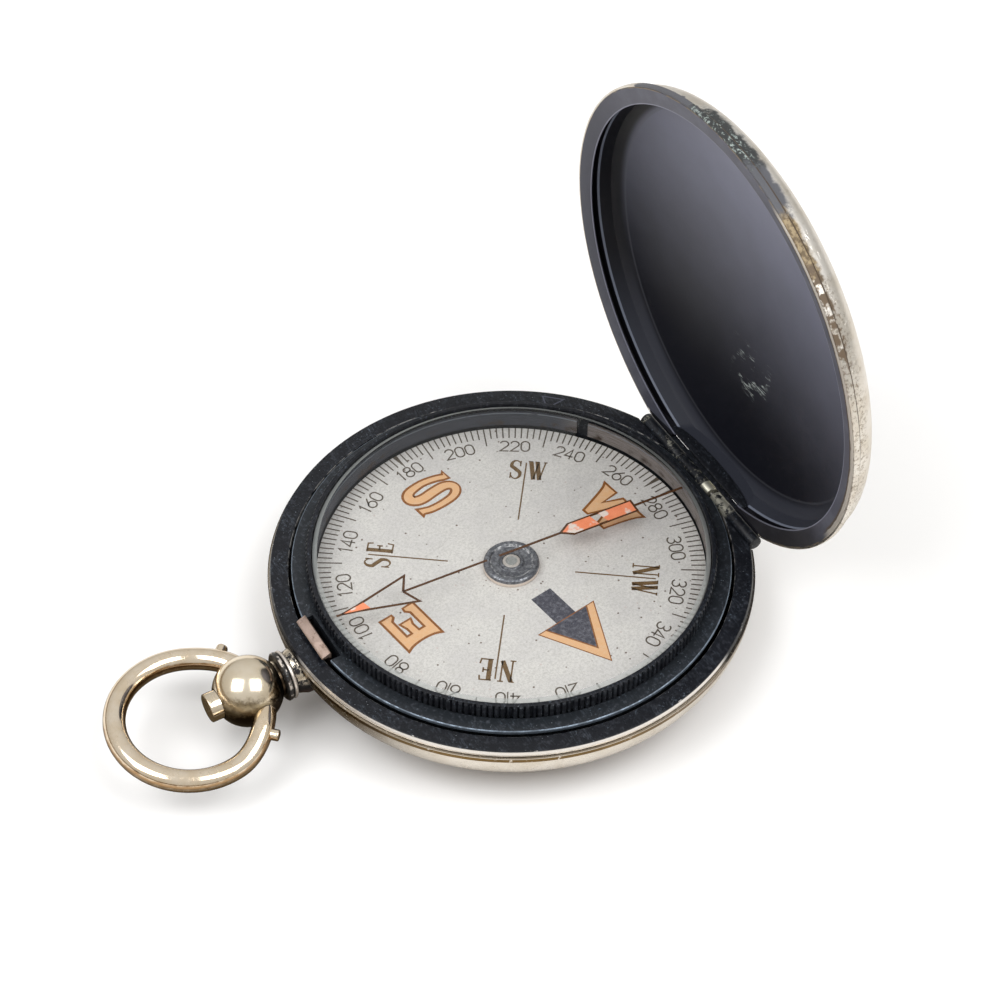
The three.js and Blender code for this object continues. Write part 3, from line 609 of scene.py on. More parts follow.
def ball_metal():
    """As the bow, with olive mottling and then black towards its underside and beside the collar: tarnish together with
    a painted reflection of the dark table and painted shade by the collar. Its own +Y points down.
    """
    f = polished_metal("tarnished_nickel_ball_painted_shade", (0.88, 0.78, 0.62), (0.82, 0.70, 0.52), 0.16, (0.36, 0.25, 0.12),
                       0.2, 0.5)
    ragged = f.math("MULTIPLY", f.math("SUBTRACT", f.noise(1.4, 6, 0.7, seed=51), 0.5), 2.0)
    back = f.math("SUBTRACT", f.z, BALL_Y)
    low = f.math("ADD", f.math("MULTIPLY", f.y, 0.68), f.math("MULTIPLY", f.x, 0.63))
    low = f.math("ADD", f.math("SUBTRACT", low, f.math("MULTIPLY", back, 0.36)), ragged)
    side = f.math("ADD", f.math("ADD", f.math("MULTIPLY", f.x, 0.5), f.math("MULTIPLY", back, 0.86)), ragged)
    # Olive mottling low on the ball, then black lower still and beside the collar: tarnish with a painted reflection of
    # the dark table and painted shade.
    tarnish_and_reflection = f.math("MULTIPLY", f.step(low, 0.25, 1.0), 0.85)
    black = f.math("MAXIMUM", f.step(low, 1.6, 2.4), f.step(side, 2.1, 2.8))
    f.over(tarnish_and_reflection, f.mix(f.step(f.noise(1.8, 5, seed=54), 0.4, 0.6), (0.13, 0.095, 0.045), (0.30, 0.24, 0.14)))
    f.over(black, (0.05, 0.035, 0.022))
    f.look(roughness=f.blend(tarnish_and_reflection, 0.16, 0.3))
    return f.material


def neck_metal():
    """Nickel with most of its black lacquer left: it shows bright on top and where the bow has rubbed."""
    f = polished_metal("worn_neck", (0.66, 0.61, 0.52), (0.50, 0.42, 0.32), 0.3, (0.14, 0.09, 0.05), 0.4)
    top = f.step(f.y, 0.3, -1.2)
    patchy = f.noise(1.5, 6, 0.7, seed=12)
    bare = f.both(top, f.step(patchy, 0.49, 0.56))
    colour = f.mix(bare, (0.013, 0.012, 0.013), (0.62, 0.55, 0.44))
    brown = f.math("MULTIPLY", f.step(f.y, 0.2, 1.6), 0.6)
    colour = f.mix(brown, colour, (0.12, 0.07, 0.045))
    f.look(colour=colour, metallic=f.blend(bare, 0.1, 1.0), roughness=f.blend(bare, 0.4, 0.25), specular=0.3)
    return f.material


def collar_metal():
    """Dark collar whose thin front rim is rubbed bright."""
    def wear(f):
        rim = f.both(f.step(f.radius(), 2.22, 2.3), f.step(f.z, -24.52, -24.42))
        edge = f.both(f.step(f.radius(), 2.3, 2.36), f.step(f.noise(1.6, 5, seed=52), 0.5, 0.6))
        return f.math("MAXIMUM", rim, edge)
    return lacquer("dark_collar", base=(0.02, 0.017, 0.014), worn=(0.72, 0.66, 0.60), wear_mask=wear).material


def catch_metal():
    f = polished_metal("catch_nickel", (0.50, 0.39, 0.34), (0.34, 0.25, 0.20), 0.45, (0.12, 0.07, 0.05), 0.8, 2.6,
                       0.03)
    # Painted shade: the leg below the nose, down in its slot, is painted dark.
    f.over(f.step(f.z, CATCH_BREAK_Z, CATCH_BREAK_Z - 0.1), (0.05, 0.035, 0.03))
    return f.material


def spring_steel():
    f = polished_metal("spring_steel", (0.42, 0.42, 0.43), (0.30, 0.29, 0.28), 0.3, (0.14, 0.09, 0.05), 0.3)
    return f.material


def brass():
    f = polished_metal("brass", (0.66, 0.48, 0.22), (0.50, 0.34, 0.14), 0.28, (0.16, 0.09, 0.03), 0.4)
    return f.material


def light_alloy():
    f = polished_metal("light_alloy", (0.62, 0.63, 0.65), (0.50, 0.51, 0.53), 0.4, (0.2, 0.18, 0.15), 0.25)
    return f.material


def front_ring_lacquer():
    """Black on top, rubbed along the groove; its outer side is bare metal to the right of the pendant."""
    def wear(f):
        patchy = f.step(f.noise(1.2, 5, 0.7, seed=10), 0.42, 0.6)
        groove = f.both(f.band(f.radius(), 21.36, 0.02, 0.03), patchy)
        handled = f.span(f.turn(), -84, 25, 6)
        side = f.both(f.step(f.radius(), 22.9, 23.0), f.step(f.z, RIM_Z - 0.06, RIM_Z - 0.14), handled)
        corner = f.both(f.step(f.radius(), 22.95, 23.0), f.step(f.noise(1.6, 6, 0.7, seed=18), 0.62, 0.68))
        return f.math("MAXIMUM", f.math("MULTIPLY", groove, 0.5),
                      f.math("MAXIMUM", side, f.math("MULTIPLY", corner, 0.5)))
    return lacquer("black_lacquer_rim", worn=(0.80, 0.77, 0.73), wear_mask=wear).material


def shelf_lacquer():
    def wear(f):
        # The rounded outer corner: rubbed lacquer, with a painted bluish highlight laid in the same band.
        edge = f.band(f.radius(), 21.0, 0.025, 0.04)
        patchy = f.blend(f.step(f.noise(1.0, 5, 0.7, seed=11), 0.40, 0.62), 0.35, 1.0)
        return f.both(edge, patchy)
    return lacquer("black_lacquer_shelf", base=(0.015, 0.018, 0.022), worn=(0.30, 0.37, 0.46), wear_mask=wear,
                   dust_share=0.6).material


def bezel_lacquer():
    """Black reeding, its top corner worn to a light grey line here and there."""
    def wear(f):
        tip = f.step(f.radius(), 19.46, 19.56)
        patchy = f.step(f.noise(0.8, 5, 0.7, seed=13), 0.5, 0.75)
        return f.math("MULTIPLY", f.both(tip, patchy), 0.22)
    return lacquer("black_lacquer_bezel", worn=(0.16, 0.18, 0.20), wear_mask=wear, roughness=0.34).material


def hinge_lacquer():
    """Black barrels and plate: the middle barrel's end is rubbed to cream, the right one greenish."""
    def wear(f):
        across = f.math("SUBTRACT", f.y, HINGE_Y)
        along = f.math("SUBTRACT", f.z, HINGE_Z)
        reach = f.math("SQRT", f.math("ADD", f.math("MULTIPLY", across, across), f.math("MULTIPLY", along, along)))
        barrel = f.step(reach, 0.85, 0.78)
        patchy = f.step(f.noise(1.7, 6, 0.75, seed=14), 0.53, 0.63)
        end = f.span(f.x, 1.1, 2.3, 0.15)
        streak = f.both(f.span(f.x, 2.9, 5.4, 0.5), f.step(f.noise(1.4, 5, 0.7, seed=17), 0.42, 0.52))
        tip = f.both(f.step(f.x, -9.0, -9.5), patchy)
        rubbed = f.math("MAXIMUM", f.math("MAXIMUM", end, f.math("MULTIPLY", streak, 0.6)), tip)
        middle = f.both(patchy, f.span(f.x, -6.0, 1.5, 1.0))
        return f.both(barrel, f.math("MAXIMUM", rubbed, f.math("MULTIPLY", middle, 0.35)))
    return lacquer("black_lacquer_hinge", worn=(0.62, 0.60, 0.50), wear_mask=wear, roughness=0.35).material


def lid_ring_lacquer():
    """Satin slate ring, painted darker on its left and near the hinge as shade, with a painted lavender highlight along
    its inner corner and ochre on its outer one.
    """
    f = Finish("satin_lid_ring_painted_shade")
    turning = f.rings(9, 2)
    cloud = f.noise(0.5, 5, 0.6, seed=5)
    colour = f.mix(f.step(cloud, 0.35, 0.7), (0.074, 0.078, 0.108), (0.110, 0.115, 0.150))
    # Painted shade: darker towards the left side of the ring.
    colour = f.mix(f.math("MULTIPLY", f.step(f.x, -12.0, -21.0), 0.75), colour, (0.035, 0.038, 0.056))
    # Painted shade near the hinge.
    colour = f.mix(f.math("MULTIPLY", f.both(f.step(f.y, 8.0, 15.0), f.step(f.x, -4.0, 4.0)), 0.8), colour,
                   (0.016, 0.014, 0.013))
    # Painted highlight: a lavender line along the inner corner.
    inner = f.band(f.radius(), 21.08, 0.03, 0.05)
    colour = f.mix(f.math("MULTIPLY", inner, 0.5), colour, (0.36, 0.37, 0.47))
    outer = f.both(f.step(f.radius(), 22.62, 22.70), f.step(f.noise(0.8, 5, seed=6), 0.4, 0.6))
    colour = f.mix(f.math("MULTIPLY", outer, 0.7), colour, (0.30, 0.23, 0.14))
    handled = f.span(f.turn(), -62, 24, 6)
    uneven = f.math("ADD", f.radius(), f.math("MULTIPLY", f.noise(0.8, 5, 0.7, seed=7), 0.3))
    colour = f.mix(f.both(handled, f.step(uneven, 22.20, 22.26)), colour, (0.085, 0.062, 0.042))
    bare = f.both(handled, f.step(uneven, 22.42, 22.50))
    colour = f.mix(bare, colour, (0.66, 0.62, 0.57))
    f.bump(f.math("ADD", turning, f.noise(5, 4, seed=3)), 0.008)
    return f.look(colour=colour, roughness=f.blend(cloud, 0.4, 0.55), metallic=f.blend(bare, 0.35, 0.9))


def lid_inside_lacquer():
    """Satin black lacquer inside the lid, its light painted in: a painted sheen growing lighter away from the hinge,
    painted shade on the wall and under the lip, painted highlight lines at the groove and the lip, and a few hair
    scratches in the middle.
    """
    f = Finish("black_lacquer_lid_inside_painted_shade")
    r = f.radius()
    cloud = f.noise(0.3, 4, 0.6, seed=5)
    # Painted sheen: the colour grows lighter away from the hinge, standing in for the reflection in the lacquer.
    climb = f.math("ADD", f.math("MULTIPLY", f.y, -0.95), f.math("MULTIPLY", f.x, 0.2))
    climb = f.math("ADD", climb, f.math("MULTIPLY", f.math("SUBTRACT", cloud, 0.5), 4))
    painted_sheen = f.math("POWER", f.math("MULTIPLY", f.math("ADD", climb, 14.0), 1 / 30, clamp=True), 1.7)
    colour = f.mix(painted_sheen, (0.003, 0.0035, 0.008), (0.215, 0.225, 0.300))
    # Painted shade on the wall round the dome, darkest away from the hinge.
    wall = f.step(r, 19.6, 20.4)
    colour = f.mix(wall, colour, f.mix(f.step(f.y, 6.0, 16.0), (0.006, 0.0065, 0.010), (0.030, 0.033, 0.046)))
    # Painted highlight: a faint light line at the groove near the wall.
    colour = f.mix(f.math("MULTIPLY", f.band(r, 19.7, 0.04, 0.12), 0.3), colour, (0.08, 0.085, 0.10))
    # Painted shade under the lip.
    under_lip_shade = f.step(f.z, RIM_Z + 1.28, RIM_Z + 1.22)
    colour = f.mix(under_lip_shade, colour, (0.006, 0.006, 0.009))
    # Painted highlight along the lip.
    lip_highlight = f.both(f.band(r, 21.32, 0.03, 0.04), f.band(f.z, RIM_Z + 1.3, 0.1, 0.06))
    colour = f.mix(f.math("MULTIPLY", lip_highlight, 0.5), colour, (0.30, 0.34, 0.44))
    marks = f.both(f.scratches(2.0, 75, 5, 0.03), f.span(f.x, -2.0, 3.5, 1.0), f.span(f.y, 7.0, 11.0, 1.5))
    colour = f.mix(marks, colour, (0.34, 0.38, 0.37))
    f.bump(f.math("ADD", f.math("MULTIPLY", f.rings(3.5, 4), 0.2), f.noise(3, 5, 0.6, seed=2)), 0.005)
    return f.look(colour=colour, roughness=f.blend(cloud, 0.42, 0.5), metallic=0.0, specular=0.3)


def card_paper():
    f = Finish("printed_card_paper")
    cloud = f.noise(0.25, 5, 0.6, seed=1)
    grain = f.noise(4.5, 5, 0.8, seed=2)
    colour = f.mix(f.step(cloud, 0.35, 0.7), (0.675, 0.65, 0.63), (0.61, 0.585, 0.58))
    colour = f.mix(f.math("MULTIPLY", f.step(grain, 0.42, 0.62), 0.8), colour, (0.50, 0.48, 0.465))
    colour = f.mix(f.math("MULTIPLY", f.step(f.noise(5.5, 3, 0.6, seed=9), 0.62, 0.72), 0.25), colour, (0.42, 0.40, 0.38))
    specks = f.math("MULTIPLY", f.step(f.cells(1.1, 2), 0.15, 0.08), f.step(f.noise(0.9, 2, seed=3), 0.50, 0.56))
    colour = f.mix(specks, colour, (0.14, 0.10, 0.08))
    pinks = f.math("MULTIPLY", f.step(f.cells(0.7, 5), 0.1, 0.02), 0.5)
    colour = f.mix(pinks, colour, (0.45, 0.30, 0.28))
    lines = f.scratches(1.3, 25, 7, 0.018)
    colour = f.mix(f.math("MULTIPLY", lines, 0.25), colour, (0.35, 0.33, 0.31))
    f.bump(grain, 0.006)
    return f.look(colour=colour, roughness=f.blend(grain, 0.65, 0.85), specular=0.2)


def ink(name, colour, faded, share=0.5):
    """Printing ink that has thinned in places."""
    f = Finish(name)
    thin = f.math("MULTIPLY", f.step(f.noise(2.5, 6, 0.7, seed=2), 0.42, 0.7), share)
    grain = f.noise(14, 3, 0.6, seed=5)
    mixed = f.mix(thin, colour, faded)
    f.bump(grain, 0.004)
    return f.look(colour=mixed, roughness=f.blend(grain, 0.5, 0.75), specular=0.2)


def sight_orange():
    """The paint in the sight line, flaked off in places down to a chalky ground."""
    f = Finish("sight_paint_orange")
    flaked = f.step(f.noise(0.75, 3, 0.5, seed=21), 0.56, 0.64)
    tone = f.noise(1.9, 4, seed=4)
    paint = f.mix(tone, (0.80, 0.20, 0.08), (0.92, 0.33, 0.17))
    colour = f.mix(flaked, paint, (0.78, 0.66, 0.60))
    f.bump(f.noise(8, 4, seed=3), 0.006)
    return f.look(colour=colour, roughness=f.blend(tone, 0.45, 0.65))


def glass():
    """Clear glass seen straight through, with a faint dust haze, and a light grey ring at the bevel that is a painted
    reflection standing in for the bevel's shine.
    """
    f = Finish("crystal_glass")
    nodes = f.tree.nodes
    clear = nodes.new("ShaderNodeBsdfTransparent")
    clear.inputs["Color"].default_value = (0.985, 0.99, 0.985, 1)
    shine = nodes.new("ShaderNodeBsdfGlossy")
    smear = f.noise(0.35, 5, 0.6, seed=3)
    edge = f.step(f.radius(), 18.46, 18.54)
    f.feed(shine.inputs["Roughness"], f.blend(edge, f.blend(smear, 0.01, 0.05), 0.4))
    fresnel = nodes.new("ShaderNodeFresnel")
    fresnel.inputs["IOR"].default_value = 1.45
    side = nodes.new("ShaderNodeNewGeometry")
    front = f.math("SUBTRACT", 1.0, side.outputs["Backfacing"])
    through = nodes.new("ShaderNodeMixShader")
    f.join(f.both(fresnel.outputs[0], front), through.inputs[0])
    f.join(clear.outputs[0], through.inputs[1])
    f.join(shine.outputs[0], through.inputs[2])
    # A light grey diffuse layer: faint dust all over, and at the bevel a painted reflection.
    dust = nodes.new("ShaderNodeBsdfDiffuse")
    dust.inputs["Color"].default_value = (0.36, 0.38, 0.37, 1)
    haze = f.math("MULTIPLY", f.step(f.noise(1.5, 6, 0.7, seed=6), 0.45, 0.8), 0.012)
    # Painted reflection: the bevel ring is laid on as light grey.
    bevel = f.both(edge, front, f.blend(smear, 0.4, 0.65))
    mixed = nodes.new("ShaderNodeMixShader")
    f.join(f.math("ADD", haze, bevel), mixed.inputs[0])
    f.join(through.outputs[0], mixed.inputs[1])
    f.join(dust.outputs[0], mixed.inputs[2])
    f.join(mixed.outputs[0], f.output.inputs["Surface"])
    return f.material


def brushed_ring():
    """Brushed steel, dark on its left as painted shade and brighter to the right towards the hinge as a painted
    reflection, with brown streaks there and a painted highlight along its lip.
    """
    f = Finish("brushed_retaining_ring")
    streaks = f.noise(2.2, 6, 0.65, stretch=(0.25, 0.25, 9), seed=3)
    cloud = f.noise(0.7, 4, seed=6)
    # Painted shade on the left and a painted reflection, brighter, towards the hinge: the two tones below stand for
    # light, not two metals.
    dull = f.mix(f.step(streaks, 0.3, 0.7), (0.045, 0.050, 0.065), (0.085, 0.092, 0.115))
    painted_lit_side = f.mix(f.step(streaks, 0.3, 0.7), (0.36, 0.33, 0.33), (0.17, 0.14, 0.125))
    toward_hinge = f.math("ADD", f.math("MULTIPLY", f.x, 0.5), f.math("MULTIPLY", f.y, 0.87))
    colour = f.mix(f.step(toward_hinge, 3.0, 8.0), dull, painted_lit_side)
    colour = f.mix(f.both(f.step(cloud, 0.5, 0.7), f.step(f.z, RIM_Z + 0.5, RIM_Z - 0.3)), colour, (0.07, 0.05, 0.04))
    # Painted highlight along the lip near the top.
    lip_highlight = f.both(f.band(f.z, RIM_Z + 0.96, 0.05, 0.05), f.step(cloud, 0.3, 0.5))
    colour = f.mix(f.math("MULTIPLY", lip_highlight, 0.6), colour, (0.30, 0.34, 0.40))
    f.bump(streaks, 0.01)
    return f.look(colour=colour, roughness=f.blend(cloud, 0.4, 0.55), metallic=0.4, specular=0.3)


def hub_metal():
    f = Finish("hub_metal")
    turning = f.rings(7, 1)
    blotch = f.step(f.noise(2.6, 7, 0.7, seed=4), 0.42, 0.62)
    colour = f.mix(blotch, (0.10, 0.105, 0.125), (0.26, 0.265, 0.29))
    rubbed = f.math("MULTIPLY", f.band(f.radius(), 2.05, 0.05, 0.1), f.step(f.noise(3, 4, seed=9), 0.45, 0.6))
    colour = f.mix(rubbed, colour, (0.6, 0.6, 0.62))
    side = f.both(f.step(f.z, CARD_TOP_Z + 0.5, CARD_TOP_Z + 0.4), f.step(f.radius(), 2.5, 2.6))
    colour = f.mix(side, colour, (0.80, 0.68, 0.60))
    f.bump(f.math("ADD", turning, f.math("MULTIPLY", blotch, 0.4)), 0.015)
    return f.look(colour=colour, roughness=f.blend(blotch, 0.4, 0.28), metallic=f.blend(side, 0.75, 0.1))


def jewel():
    f = Finish("jewel_stone")
    tone = f.noise(2.5, 4, seed=3)
    centre = f.step(f.radius(), 0.62, 0.5)
    rim = f.mix(tone, (0.36, 0.33, 0.31), (0.46, 0.42, 0.39))
    stone = f.mix(tone, (0.20, 0.21, 0.21), (0.31, 0.31, 0.30))
    f.bump(f.noise(5, 3, seed=2), 0.006)
    return f.look(colour=f.mix(centre, rim, stone), roughness=f.blend(tone, 0.2, 0.35), coat=0.4, coat_roughness=0.1)


M = {}


def make_materials():
    M["case"] = nickel_case()
    M["lid"] = nickel_lid()
    M["tarnished"] = tarnished()
    M["bow"] = bow_metal()
    M["ball"] = ball_metal()
    M["neck"] = neck_metal()
    M["collar"] = collar_metal()
    M["catch"] = catch_metal()
    M["steel"] = spring_steel()
    M["brass"] = brass()
    M["alloy"] = light_alloy()
    M["rim"] = front_ring_lacquer()
    M["shelf"] = shelf_lacquer()
    M["bezel"] = bezel_lacquer()
    M["hinge"] = hinge_lacquer()
    M["lid_ring"] = lid_ring_lacquer()
    M["lid_inside"] = lid_inside_lacquer()
    M["card"] = card_paper()
    M["brown"] = ink("ink_brown", (0.13, 0.075, 0.030), (0.23, 0.145, 0.07), 0.5)
    M["rust"] = ink("ink_rust", (0.24, 0.085, 0.020), (0.34, 0.15, 0.05), 0.5)
    M["grey_brown"] = ink("ink_grey_brown", (0.085, 0.068, 0.052), (0.19, 0.155, 0.125), 0.6)
    M["letter"] = ink("ink_orange", (0.72, 0.42, 0.22), (0.70, 0.47, 0.30), 0.7)
    M["slate"] = ink("ink_slate", (0.050, 0.050, 0.068), (0.17, 0.17, 0.20), 0.8)
    M["sight_line"] = ink("sight_paint_brown", (0.070, 0.026, 0.008), (0.17, 0.075, 0.025), 0.5)
    M["sight_orange"] = sight_orange()
    M["glass"] = glass()
    M["retainer"] = brushed_ring()
    M["hub"] = hub_metal()
    M["jewel"] = jewel()


def put(thing, body, material, slot, *nodes):
    """Gives a finished piece its material and its body, and hides the CAD nodes it stands for; slot is not used."""
    if material:
        thing.data.materials.clear()
        thing.data.materials.append(M[material])
    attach(thing, body)
    if nodes:
        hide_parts(*nodes)
    return thing


# ---- case ------------------------------------------------------------------------------------------------

def case_curve(waist_r, depth, count=22):
    """Points down the bulged wall, from the waist to near the axis."""
    out = []
    for k in range(count + 1):
        t = math.radians(80 * k / count)
        out.append((waist_r * math.cos(t) ** 0.4, CASE_WAIST_Z - depth * math.sin(t)))
    return out


def hinge_trough():
    radius = HINGE_R + 0.1
    outline = [(HINGE_Y - radius, RIM_Z + 3), (HINGE_Y - radius, HINGE_Z)]
    outline += arc(HINGE_Y, HINGE_Z, radius, radius, 180, 360, 16)
    outline += [(24.5, HINGE_Z), (24.5, RIM_Z + 3)]
    return prism("cutter", outline, -10.0, 10.0, axis="x")


def case_bowl():
    outer = case_curve(CASE_R, CASE_WAIST_Z)
    inner = case_curve(CASE_R - CASE_WALL, CASE_WAIST_Z - CASE_WALL)
    profile = [(0, 0), (11.2, 0)] + outer[::-1][1:] + [(CASE_R - 0.04, 7.22, 0.03), (CASE_R - CASE_WALL, 7.25, 0.05)]
    profile += inner[1:] + [(0, CASE_WALL)]
    bowl = lathe("case_bowl", rounded(profile))
    combine(bowl, [hinge_trough()])
    put(bowl, "case", "case", "nickel_silver", "case_body")


def front_ring():
    profile = rounded([(22.3, 7.3), (23.08, 7.3, 0.03), (23.16, 7.6, 0.2), (23.02, RIM_Z, 0.09),
                       (21.36, RIM_Z, 0.1), (21.32, 7.3), (22.0, 7.3), (22.0, 6.4), (22.3, 6.4)])
    ring = lathe("front_ring_piece", profile)
    combine(ring, [hinge_trough()])
    put(ring, "case", "rim", "black_lacquer", "front_ring")
    mark = Print(RIM_Z - 0.01, RIM_Z + 0.012)
    mark.stroke([(-17.6, 13.9), (-16.1, 15.5), (-15.9, 13.4)], 0.16, closed=True)
    put(mark.build("index_mark", UPRIGHT), "case", "lid_ring", "black_lacquer")


def compass_bowl():
    top = RIM_Z + 0.35
    profile = rounded([(0, 0.85), (11, 0.85), (16, 1.6), (18.5, 2.4), (19.75, 3.4), (19.75, 6.7), (20.05, 7.0),
                       (20.05, 7.9), (21.0, 7.9), (21.05, top - 0.1, 0.05), (20.95, top, 0.12), (19.5, top, 0.05),
                       (19.5, 7.45), (19.75, 7.45), (19.75, 7.05), (19.45, 7.05), (19.45, 3.5),
                       (18.3, 2.8), (15.8, 2.0), (11, 1.35), (0, 1.35)])
    bowl = lathe("compass_bowl_piece", profile)
    catch_slot = block((-2.95, 2.7), (-22, -19.78), (6.6, 9.5))
    combine(bowl, [catch_slot, hinge_trough()])
    put(bowl, "case", "shelf", "black_lacquer", "compass_bowl")


def hinge_barrels():
    for side, ends in (("left", (-9.85, -3.25)), ("right", (2.7, 9.85))):
        barrel = tube(f"hinge_barrel_{side}", [(x, HINGE_Y, HINGE_Z) for x in ends], HINGE_R, ease=0.1)
        put(barrel, "case", "hinge", "black_lacquer", f"case_knuckle_{side}")


# ---- pendant -----------------------------------------------------------------------------------------------

def pendant():
    neck = rounded([(0.75, -24.02), (1.98, -24.02, 0.1), (2.1, -23.7, 0.2), (2.18, -23.4, 0.3), (2.4, -22.9, 0.25),
                    (2.4, -21.8), (0.75, -21.8)])
    neck_piece = lathe("pendant_neck_piece", neck, ALONG_PENDANT, 64)
    envelope = lathe("cutter", [(0, 1.5)] + case_curve(CASE_R + 0.02, CASE_WAIST_Z, 22)[16::-1]
                     + [(CASE_R + 0.02, 10), (0, 10)])
    combine(neck_piece, [envelope])
    put(neck_piece, "case", "neck", "nickel_silver", "pendant_neck")
    collar = rounded([(0.75, -25.0), (2.2, -25.0, 0.12), (2.4, -24.86, 0.08), (2.4, -24.62, 0.08),
                      (2.12, -24.53, 0.08), (2.12, -24.46, 0.06), (2.36, -24.38, 0.05), (2.38, -24.2, 0.06),
                      (2.25, -24.06, 0.06), (0.75, -24.06)])
    put(lathe("pendant_collar_piece", collar, ALONG_PENDANT, 64), "case", "collar", "tarnished_nickel",
        "pendant_collar")
    put(ball(), "case", "ball", "tarnished_nickel", "pendant_ball")
    face = -32.35
    button = rounded([(0, face), (1.4, face, 0.12), (1.4, -30.55, 0.05), (0.6, -30.55), (0.6, -20.95), (0, -20.95)])
    put(lathe("push_button_piece", button, ALONG_PENDANT, 64), "button", "tarnished", "tarnished_nickel", "push_button")


BALL_BACK_Y = -25.05


def ball():
    """The turned ball with its foot, the well for the button and the two seats for the bow's ends."""
    foot_r = 1.7
    profile = [(0, BALL_Y - BALL_R)]
    for k in range(1, 41):
        angle = math.radians(-90 + 180 * k / 41)
        r = BALL_R * math.cos(angle)
        y = BALL_Y + BALL_R * math.sin(angle)
        if y < BALL_Y or r > foot_r + 0.05:
            profile.append((r, y))
    profile += [(foot_r, BALL_Y + 2.9), (foot_r, BALL_BACK_Y), (0, BALL_BACK_Y)]
    piece = lathe("pendant_ball_piece", profile, ALONG_PENDANT, 96)
    well = lathe("cutter", rounded([(0, -33), (1.5, -33), (1.5, -29.5), (0.72, -29.5), (0.72, -24), (0, -24)]),
                 ALONG_PENDANT, 64)
    seats = [tube("cutter", [(s * 2.35, BALL_Y, PENDANT_Z), (s * 4, BALL_Y, PENDANT_Z)], 0.7, ease=0)
             for s in (-1, 1)]
    return combine(piece, [well] + seats)


CATCH_BREAK_Z = RIM_Z + 0.45


def catch():
    """The bright catch: a flat leg and a bevelled nose over the lid's ring."""
    top, foot = RIM_Z + 1.1, RIM_Z - 3.4
    profile = [(-20.82, foot), (-20.6, foot), (-20.6, top - 0.12), (-20.72, top), (-21.5, top - 0.35),
               (-21.62, RIM_Z + 0.6), (-21.55, RIM_Z + 0.5), (-20.82, RIM_Z + 0.5)]
    piece = prism("lid_catch_piece", profile, -2.75, 2.5, axis="x", ease=0.12)
    put(piece, "catch", "catch", "nickel_silver", "lid_catch")


BOW_R, BOW_WIRE_R, BOW_END, BOW_RISE_END = 6.92, 1.05, 25, 75
BOW_CENTRE = Vector((0, -34.1, RIM_Z - 2.95))
BOW_LEAN = Matrix.Rotation(math.radians(4), 3, "Y") @ Matrix.Rotation(math.radians(-4), 3, "X")


def on_bow(angle, reach=BOW_R):
    """A point on the bow, degrees from +Y round by -X. Its ends rise to the height of the pivots."""
    a = math.radians(angle)
    spot = BOW_CENTRE + BOW_LEAN @ Vector((-reach * math.sin(a), reach * math.cos(a), 0))
    from_end = min(angle, 360 - angle)
    t = min(max((from_end - BOW_END - 6) / (BOW_RISE_END - BOW_END - 6), 0), 1)
    spot.z += (PENDANT_Z - spot.z) * (1 - t * t * (3 - 2 * t))
    return spot


def bow():
    """Round wire trimmed to the ball, with two nibs and two pivots."""
    path = [on_bow(BOW_END + (360 - 2 * BOW_END) * k / 120) for k in range(121)]
    wire = tube("bow_piece", path, BOW_WIRE_R, segments=36, ease=0.05)
    nibs = [tube("nib", [on_bow(a), on_bow(a, 8.35), on_bow(a, 8.6)], 0.55, ease=0.12) for a in (44, 316)]
    combine(wire, nibs, "UNION")
    room = lathe("cutter", [((BALL_R + 0.05) * math.cos(a), (BALL_R + 0.05) * math.sin(a))
                            for a in (math.radians(-90 + 3 * k) for k in range(61))],
                 Matrix.Translation((0, BALL_Y * MM, PENDANT_Z * MM)), 96)
    combine(wire, [room])
    pivots = [tube("pivot", [(s * 2.45, BALL_Y, PENDANT_Z), (s * 3.6, BALL_Y, PENDANT_Z)], 0.55, ease=0.05)
              for s in (-1, 1)]
    combine(wire, pivots, "UNION")
    put(wire, "bow", "bow", "tarnished_nickel", "bow")


# ---- bezel -------------------------------------------------------------------------------------------------

TEETH = 220
BEZEL_TOP_Z = RIM_Z + 2.0


def reeding(r, z, angle):
    """Cuts the vertical grooves between the teeth."""
    if r < 19.5:
        return 0.0
    phase = angle * TEETH / (2 * math.pi) % 1.0
    return -0.24 if phase > 0.5 else 0.0


def bezel():
    profile = rounded([(19.33, 7.0), (19.33, RIM_Z + 0.43), (19.6, RIM_Z + 0.43), (19.6, BEZEL_TOP_Z - 0.22),
                       (19.45, BEZEL_TOP_Z, 0.05), (19.08, BEZEL_TOP_Z, 0.05), (19.03, 7.0)])
    ring = lathe("bezel_ring_piece", profile, BEZEL_PLACE, TEETH * 4, reeding, sharp=25)
    put(ring, "bezel", "bezel", "black_lacquer", "bezel_ring")
    top = RIM_Z + 1.95
    crystal = rounded([(0, GLASS_UNDER_Z), (18.98, GLASS_UNDER_Z), (18.98, top - 0.3, 0.03), (18.48, top, 0.06),
                       (0, top)])
    put(lathe("crystal_piece", crystal, BEZEL_PLACE), "bezel", "glass", "glass", "crystal")
    profile = rounded([(18.97, RIM_Z - 0.74), (18.97, RIM_Z + 1.1), (18.78, RIM_Z + 1.1, 0.04),
                       (18.78, RIM_Z + 0.98), (18.82, RIM_Z + 0.93), (18.78, RIM_Z + 0.88), (18.78, RIM_Z - 0.74, 0.05)])
    retainer = lathe("retaining_ring_piece", profile, BEZEL_PLACE)
    split = block((17, 21), (-0.6, 0.6), (6, 10))
    split.matrix_world = BEZEL_PLACE @ Matrix.Rotation(math.radians(131), 4, "Z")
    combine(retainer, [split])
    put(retainer, "bezel", "retainer", "spring_steel", "crystal_retaining_ring")


